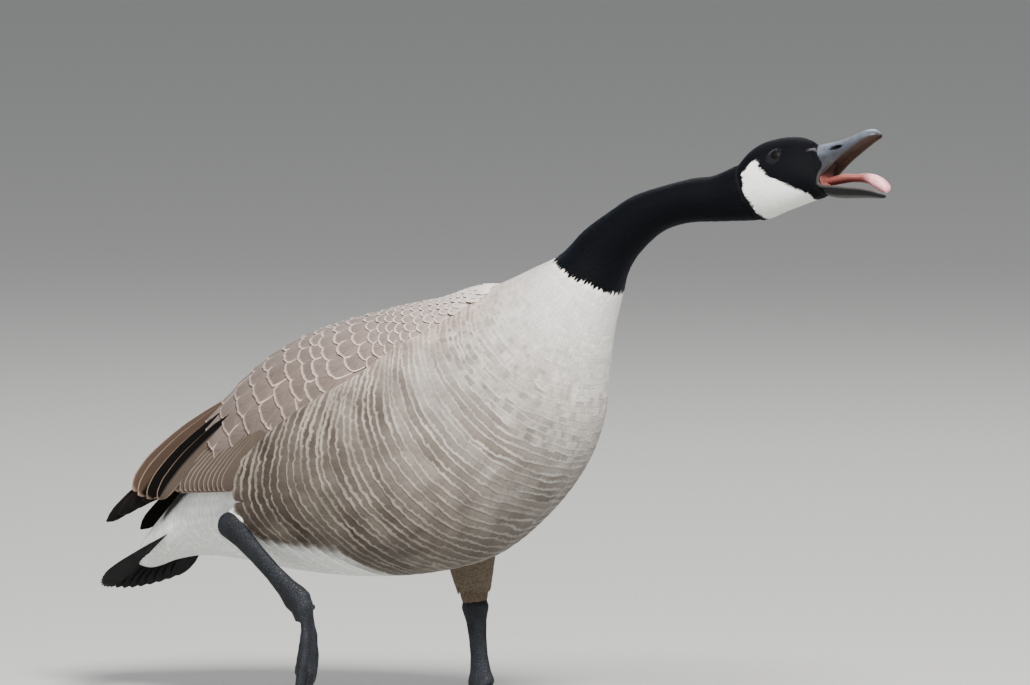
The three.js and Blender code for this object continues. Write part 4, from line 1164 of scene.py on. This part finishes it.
def bill_paint(p, inner):
    """Colours of the bill: dark grey, with a painted blue-grey highlight above, painted shade below toward
    the tip, a painted reflection on the nail's top rim, brown inside, and painted shade black in the
    nostrils.
    """
    x, z = p[..., 0], p[..., 2]
    # Painted highlight: blue grey along the top of the bill
    above = ease((z - 478 - 0.45 * (x - 350)) / 14)
    tone = blend(np.broadcast_to(srgb(44, 46, 51), p.shape), srgb(92, 99, 111), above)
    # Painted shade under the bill toward its tip
    tone = blend(tone, srgb(40, 40, 44), 0.8 * ease((x - 376) / 8) * ease((500 - z) / 6))
    # Painted reflection: a pale blue rim along the top of the nail
    tone = blend(tone, srgb(118, 128, 142), 0.7 * ease((x - 380) / 8) * ease((z - 503) / 2))
    tone = blend(tone, srgb(62, 42, 33), inner)
    # Painted shade: black in the nostril openings
    for s in (-1, 1):
        reach, near = nostril_reach(p, s)
        tone = blend(tone, srgb(2, 2, 3), near * (1 - ease((reach - 0.85) / 0.2)) * (1 - inner))
    return tone


def coloured_piece(name, grids, tones, material, slot, replaces=()):
    """Piece of closed grids of rings, moved into the head's pose, with their colours."""
    flat = [part for tone in tones for part in (tone.reshape(-1, 3), tone[:1].mean(1), tone[-1:].mean(1))]
    flat = np.concatenate(flat)
    colour = np.concatenate([flat, np.ones((len(flat), 1))], 1)
    mesh = new_mesh(name, *joined_grids(posed(grids)), {"coat": ("FLOAT_COLOR", colour)})
    add_piece(name, mesh, material, slot, replaces)


upper_profile = smooth_loop(UPPER_PROFILE, UPPER_STEPS, {0, 10})
upper = bill_grid(UPPER_BILL, upper_profile, 150)
at = np.arange(len(upper_profile))
inner = (at > UPPER_STEPS * 10 + 2) & (at < len(upper_profile) - 1)
every_ring = np.ones((len(upper), 1))
paint = bill_paint(upper, inner[None] * every_ring)
# Painted shade: a dark band along the lower edge of the upper bill
painted_edge_shade = ease((0.2 - upper_profile[:, 1]) / 0.16) * (1 - inner)
paint = blend(paint, srgb(42, 40, 42), 0.85 * painted_edge_shade[None] * every_ring)
coloured_piece("upper_bill_horn", [dent_nostrils(upper)], [paint], bill_horn, "bill", ("upper_bill",))
lower_profile = smooth_loop(LOWER_PROFILE, LOWER_STEPS, {0, 8, 9, 15})
lower = bill_grid(LOWER_BILL, lower_profile, 60)
at = np.arange(len(lower_profile))
floor_of_mouth = (at > LOWER_STEPS * 9 + 1) & (at < LOWER_STEPS * 15 - 1)
every_ring = np.ones((len(lower), 1))
# Painted highlight: the top rim of the lower bill is lighter than its black sides
high = ease((lower_profile[:, 1] - 0.72) / 0.2)[None] * every_ring
paint = blend(np.broadcast_to(srgb(9, 9, 11), lower.shape), srgb(62, 60, 62), 0.8 * high)
paint = blend(paint, srgb(112, 66, 60), floor_of_mouth[None] * every_ring)
coloured_piece("lower_bill_horn", [lower], [paint], bill_horn, "bill", ("lower_bill",))


def round_grid(rows, count, sides, sink):
    """Round sections along a table of rows, with a groove sunk in the top."""
    values = blend_rows(rows, np.linspace(0, len(rows) - 1, count))
    full = np.concatenate([values, np.full((count, 1), 2.0), np.zeros((count, 1))], 1)
    angles = np.linspace(-180, 180, sides, endpoint=False)
    grid = section_point(full[:, None, :] * np.ones((1, sides, 1)), angles[None] * np.ones((count, 1)))
    grid[..., 2] -= sink * np.exp(-(grid[..., 1] / 1.6) ** 2) * (np.cos(np.radians(angles)) > 0)[None]
    return grid


tongue = round_grid(TONGUE, 70, 40, 0.9)
x, z = tongue[..., 0], tongue[..., 2]
paint = blend(np.broadcast_to(srgb(112, 58, 54), tongue.shape), srgb(226, 158, 166), ease((x - 385) / 12))
# Painted highlight along the top of the tongue's back half
paint = blend(paint, srgb(190, 128, 122), 0.5 * ease((z - 464) / 4) * ease((392 - x) / 8))
coloured_piece("tongue_flesh", [tongue], [paint], tongue_flesh, "tongue", ("tongue",))

# Lining of the throat: a bowl between the two halves of the bill, thin and closed
THROAT = np.array([352.5, 0, 464])
FOLD_COUNT, FOLD_HEIGHT = 13, 0.4
MOUTH_RIM = np.array([
    [0, 356, 0, 478], [35, 355, 6.4, 477], [62, 352, 10.2, 471.5], [85, 350.2, 11.4, 464],
    [100, 350, 11.2, 458.5], [122, 354, 10.2, 453.6], [150, 362, 7, 451.4], [180, 368, 0, 450.6],
])
angles = np.linspace(-180, 180, 64, endpoint=False)
rim = graded(np.abs(angles), MOUTH_RIM[:, 0], MOUTH_RIM[:, 1:])
rim[:, 1] *= np.sign(angles)
steps = np.linspace(0.02, 1, 20)
folds = np.sin(np.radians(angles) * FOLD_COUNT)
bowl = THROAT + (rim - THROAT)[None] * np.stack([steps ** 1.8, steps ** 0.9, steps ** 0.9], -1)[:, None]
bowl[..., 0] += FOLD_HEIGHT * folds[None, :] * steps[:, None]
outer = bowl * (1, 1.05, 1) - (0.7, 0, 0)
mouth = np.concatenate([outer, bowl[::-1]])
z = mouth[..., 2]
paint = blend(np.broadcast_to(srgb(64, 33, 29), mouth.shape), srgb(118, 68, 63), ease((474 - z) / 18))
paint = blend(paint, srgb(62, 36, 29), ease((z - 467) / 8))
# Painted shade on one side of each fold of the lining
paint = paint * (1 - 0.35 * ease(folds * 0.9))[None, :, None]
coloured_piece("mouth_flesh", [mouth], [paint], mouth_flesh, "mouth", ("mouth_lining",))

# Corners of the mouth: a soft grey rim from the upper edge down to the lower, as x, y, z and radius
GAPE = np.array([
    [359, 12.0, 477.2, 0.5], [355.8, 12.4, 473.8, 0.9], [352.2, 12.7, 470.4, 1.2], [349.6, 12.8, 467, 1.35],
    [348.3, 12.8, 463.6, 1.4], [347.8, 12.6, 460, 1.4], [348.2, 12.3, 457, 1.4], [350.6, 11.9, 455.3, 1.3],
    [355, 11.5, 454.6, 1.0], [360, 11.1, 454.4, 0.5],
])
line = blend_rows(GAPE, np.linspace(0, len(GAPE) - 1, 44))
rims, tones = [], []
for s in (-1, 1):
    rims.append(limb_rings(line[:, :3] * (1, s, 1), line[:, 3:] * (1.15, 0.8), (0, 1, 0.01), 12))
    y = rims[-1][..., 1]
    inward = ease(0.5 - s * (y - y.mean(1, keepdims=True)) / 0.9)
    tones.append(blend(np.broadcast_to(srgb(47, 43, 44), rims[-1].shape), srgb(56, 27, 24), inward))
coloured_piece("gape_rims", rims, tones, bill_horn, "bill")


# Ridges along the edges inside both halves of the bill, and spines on the tongue's edge
def cone_grid(base, tip, radius):
    ahead = unit(tip - base)
    side = unit(np.cross(ahead, (0, 1, 0.01)))
    other = 0.5 * np.cross(ahead, side)
    turn = circle(6)[:, None]
    return np.array([
        base + (tip - base) * t + radius * size * (np.cos(turn) * side + np.sin(turn) * other)
        for t, size in ((0, 1), (0.5, 0.75), (1, 0.15))])


def cone_rows(rows, places, spot_of, growth, radius):
    """Cones along both sides of a table of rows, that grow by the given x, outward and up."""
    cones = []
    for s in (-1, 1):
        for at in places:
            spot = np.array(spot_of(*blend_rows(rows, at))) * (1, s, 1)
            cones.append(cone_grid(spot, spot + np.array(growth) * (1, s, 1), radius))
    return cones


ridges = cone_rows(
    UPPER_BILL, np.linspace(0.35, 5.9, 40),
    lambda top_x, top_z, low_x, low_z, half: (mix(low_x, top_x, 0.1), half * 0.83, mix(low_z, top_z, 0.1)),
    (0.6, -1.6, 2.6), 0.7)
ridges += cone_rows(
    LOWER_BILL, np.linspace(0.4, 4.4, 26),
    lambda top_x, top_z, low_x, low_z, half: (top_x, half * 0.86, top_z - 0.5), (0.2, -0.5, 1.5), 0.55)
add_piece("bill_ridges", new_mesh("bill_ridges", *joined_grids(posed(ridges))), lamella_horn, "bill")
spines = cone_rows(
    TONGUE, np.linspace(0.8, 4.6, 20),
    lambda top_x, top_z, low_x, low_z, half: ((top_x + low_x) / 2, half * 0.9, (top_z + low_z) / 2),
    (-0.8, 1.3, 0.2), 0.5)
add_piece("tongue_spines", new_mesh("tongue_spines", *joined_grids(posed(spines))), spine_flesh, "tongue")

# Eyes with their lids
eye_paint = Paint("eye_dark")
iris = eye_paint.ramp(eye_paint.grain(700.0, 2.0), srgb(6, 5, 5), srgb(12, 10, 9))
eye_paint.feed(eye_paint.shader, {"Base Color": iris, "Roughness": 0.55, "Specular IOR Level": 0.08})


def ball_grid(centre, radius, rings, sides):
    polar = np.radians(np.linspace(2, 178, rings))
    turn = circle(sides)
    return np.array(centre) + radius * np.stack([
        np.sin(polar)[:, None] * np.cos(turn), np.cos(polar)[:, None] * np.ones(sides),
        np.sin(polar)[:, None] * np.sin(turn)], -1)


def lid_grid(s):
    """A ring of lid round the eye, with a fine crease, as a closed tube."""
    turn, roll = circle(72)[:, None], circle(16)
    depth = math.sqrt(EYE["radius"] ** 2 - (EYE["lid_ring"] - 0.9) ** 2)
    reach = EYE["lid_ring"] + EYE["lid"] * np.cos(roll)
    out = depth + 0.35 + 1.5 * EYE["lid"] * np.sin(roll) + 0.1 * np.sin(turn * EYE["creases"])
    ahead, above = np.cos(turn) * reach, 0.93 * np.sin(turn) * reach
    return np.array(EYE["at"]) * (1, s, 1) + np.stack([ahead, s * (out - 0.22 * above), above], -1)


def torus_mesh(name, grid):
    rows, sides = grid.shape[:2]
    at = np.arange(rows * sides).reshape(rows, sides)
    east, north = np.roll(at, -1, axis=1), np.roll(at, -1, axis=0)
    both = np.roll(north, -1, axis=1)
    quads = np.stack([at, east, both, north], -1).reshape(-1, 4)
    return new_mesh(name, grid.reshape(-1, 3), quads)


for s, node in ((-1, "eye_right"), (1, "eye_left")):
    ball = head_pose(ball_grid(np.array(EYE["at"]) * (1, s, 1), EYE["radius"], 40, 48))
    ball_mesh = new_mesh(f"{node}_ball", *joined_grids([ball]))
    add_piece(f"{node}_ball", ball_mesh, eye_paint.material, "eye", (node,))
    add_piece(f"{node}_lid", torus_mesh(f"{node}_lid", head_pose(lid_grid(s))), lid_hide, "leg_skin")

# Legs: each tarsus and foot as one smooth scaly surface
HEEL_ROUND = 9
LEG_VOXEL, LEG_SMOOTHING = 0.9, 5
SHIN_HEIGHTS = (90, 130)


def node_points(node):
    return np.array([node.matrix_world @ p.co for p in node.data.vertices]) / MM + FRAME_SHIFT


def rounded_heel(spots, heel):
    """Rounds the end of the leg that leaves the feathers."""
    shin = spots[(spots[:, 2] > SHIN_HEIGHTS[0]) & (spots[:, 2] < SHIN_HEIGHTS[1])]
    ahead = unit(shin.mean(0) - heel)
    along = (spots - heel) @ ahead
    axis = heel + along[:, None] * ahead
    share = np.clip((along - along.min()) / HEEL_ROUND, 0, 1)
    return axis + (spots - axis) * np.sqrt(np.clip(1 - (1 - share) ** 2, 0.0004, 1))[:, None]


for label, leg in LEGS.items():
    verts, tris, offset = [], [], 0
    for node in (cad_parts[f"tarsus_{label}"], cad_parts[f"foot_{label}"]):
        node.data.calc_loop_triangles()
        verts.append(node_points(node))
        tris.append(np.array([tri.vertices[:] for tri in node.data.loop_triangles]) + offset)
        offset += len(verts[-1])
    foot_centre = verts[-1].mean(0)
    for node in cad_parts.values():
        if node.name.startswith("claw") and label in node.name:
            # A small ball joins each claw's base to its toe
            claw = node_points(node)
            reach = np.linalg.norm(claw - foot_centre, axis=1)
            end = claw[reach < reach.min() + 0.25 * (reach.max() - reach.min())]
            ball = ball_grid(end.mean(0), np.linalg.norm(end - end.mean(0), axis=1).mean(), 10, 16)
            v, q, t = joined_grids([ball])
            verts.append(v)
            tris += [t + offset, q[:, :3] + offset, q[:, [0, 2, 3]] + offset]
            offset += len(v)
    raw = new_mesh(f"leg_{label}_raw", np.concatenate(verts), np.zeros((0, 4), int), np.concatenate(tris))
    ready = remeshed(f"leg_{label}", raw, LEG_VOXEL, LEG_SMOOTHING)
    if label == "right":
        spots = np.zeros(len(ready.vertices) * 3, np.float32)
        ready.vertices.foreach_get("co", spots)
        spots = rounded_heel(spots.reshape(-1, 3) / MM + FRAME_SHIFT, np.array(leg["ankle"], float))
        ready.vertices.foreach_set("co", to_scene(spots))
    add_piece(f"leg_{label}", ready, leg_hide, "leg_skin", (f"tarsus_{label}", f"foot_{label}"))
for node in list(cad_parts.values()):
    if node.name.startswith("claw"):
        node.data.materials.clear()
        node.data.materials.append(claw_horn)

# Floor, light and camera
PHOTO_TURN, PHOTO_TILT = math.radians(27), math.radians(5)
CAMERA_DISTANCE = 20.0
SENSOR_WIDTH = 36
PIXELS_PER_MM = 1.177
PHOTO_WIDTH = 1030
AIM_RIGHT, AIM_UP = 15.3, 308.9
CLIP_END = 200
FLOOR_HALF = 30.0
right = np.array([math.cos(PHOTO_TURN), math.sin(PHOTO_TURN), 0])
level_toward = np.array([math.sin(PHOTO_TURN), -math.cos(PHOTO_TURN), 0])
toward = level_toward * math.cos(PHOTO_TILT) + np.array([0, 0, math.sin(PHOTO_TILT)])
above = np.cross(toward, right)
aim = right * AIM_RIGHT * MM + above * AIM_UP * MM
camera_data = bpy.data.cameras.new("camera")
camera_data.sensor_width = SENSOR_WIDTH
camera_data.lens = SENSOR_WIDTH * CAMERA_DISTANCE * PIXELS_PER_MM / MM / PHOTO_WIDTH
camera_data.clip_end = CLIP_END
camera = linked("camera", camera_data)
camera.location = Vector(aim + toward * CAMERA_DISTANCE)
camera.rotation_euler = Vector(-toward).to_track_quat("-Z", "Y").to_euler()
bpy.context.scene.camera = camera

floor_mesh = bpy.data.meshes.new("floor")
corners = [(x * FLOOR_HALF, y * FLOOR_HALF, 0) for x, y in ((-1, -1), (1, -1), (1, 1), (-1, 1))]
floor_mesh.from_pydata(corners, [], [(0, 1, 2, 3)])
floor = linked("floor", floor_mesh)
floor_paint = Paint("floor_paint")
floor_paint.feed(floor_paint.shader, {"Base Color": (0.42, 0.42, 0.408, 1), "Roughness": 0.9})
floor_mesh.materials.append(floor_paint.material)

world = bpy.data.worlds.new("studio")
world.use_nodes = True
world.node_tree.nodes["Background"].inputs["Color"].default_value = (0.93, 0.96, 1, 1)
world.node_tree.nodes["Background"].inputs["Strength"].default_value = 0.42
bpy.context.scene.world = world


def area_light(name, place, size, power, colour):
    data = bpy.data.lights.new(name, "AREA")
    data.shape = "DISK"
    data.size = size
    data.energy = power
    data.color = colour
    lamp = linked(name, data)
    lamp.location = place
    lamp.rotation_euler = (Vector((0, 0, 0.3)) - Vector(place)).to_track_quat("-Z", "Y").to_euler()


area_light("key", (1.8, -2.0, 3.1), 1.3, 465, (1, 0.98, 0.95))
area_light("fill", (-2.4, -2.2, 1.4), 1.8, 20, (0.93, 0.97, 1))
area_light("back", (-0.8, 2.4, 2.4), 1.5, 60, (1, 1, 1))
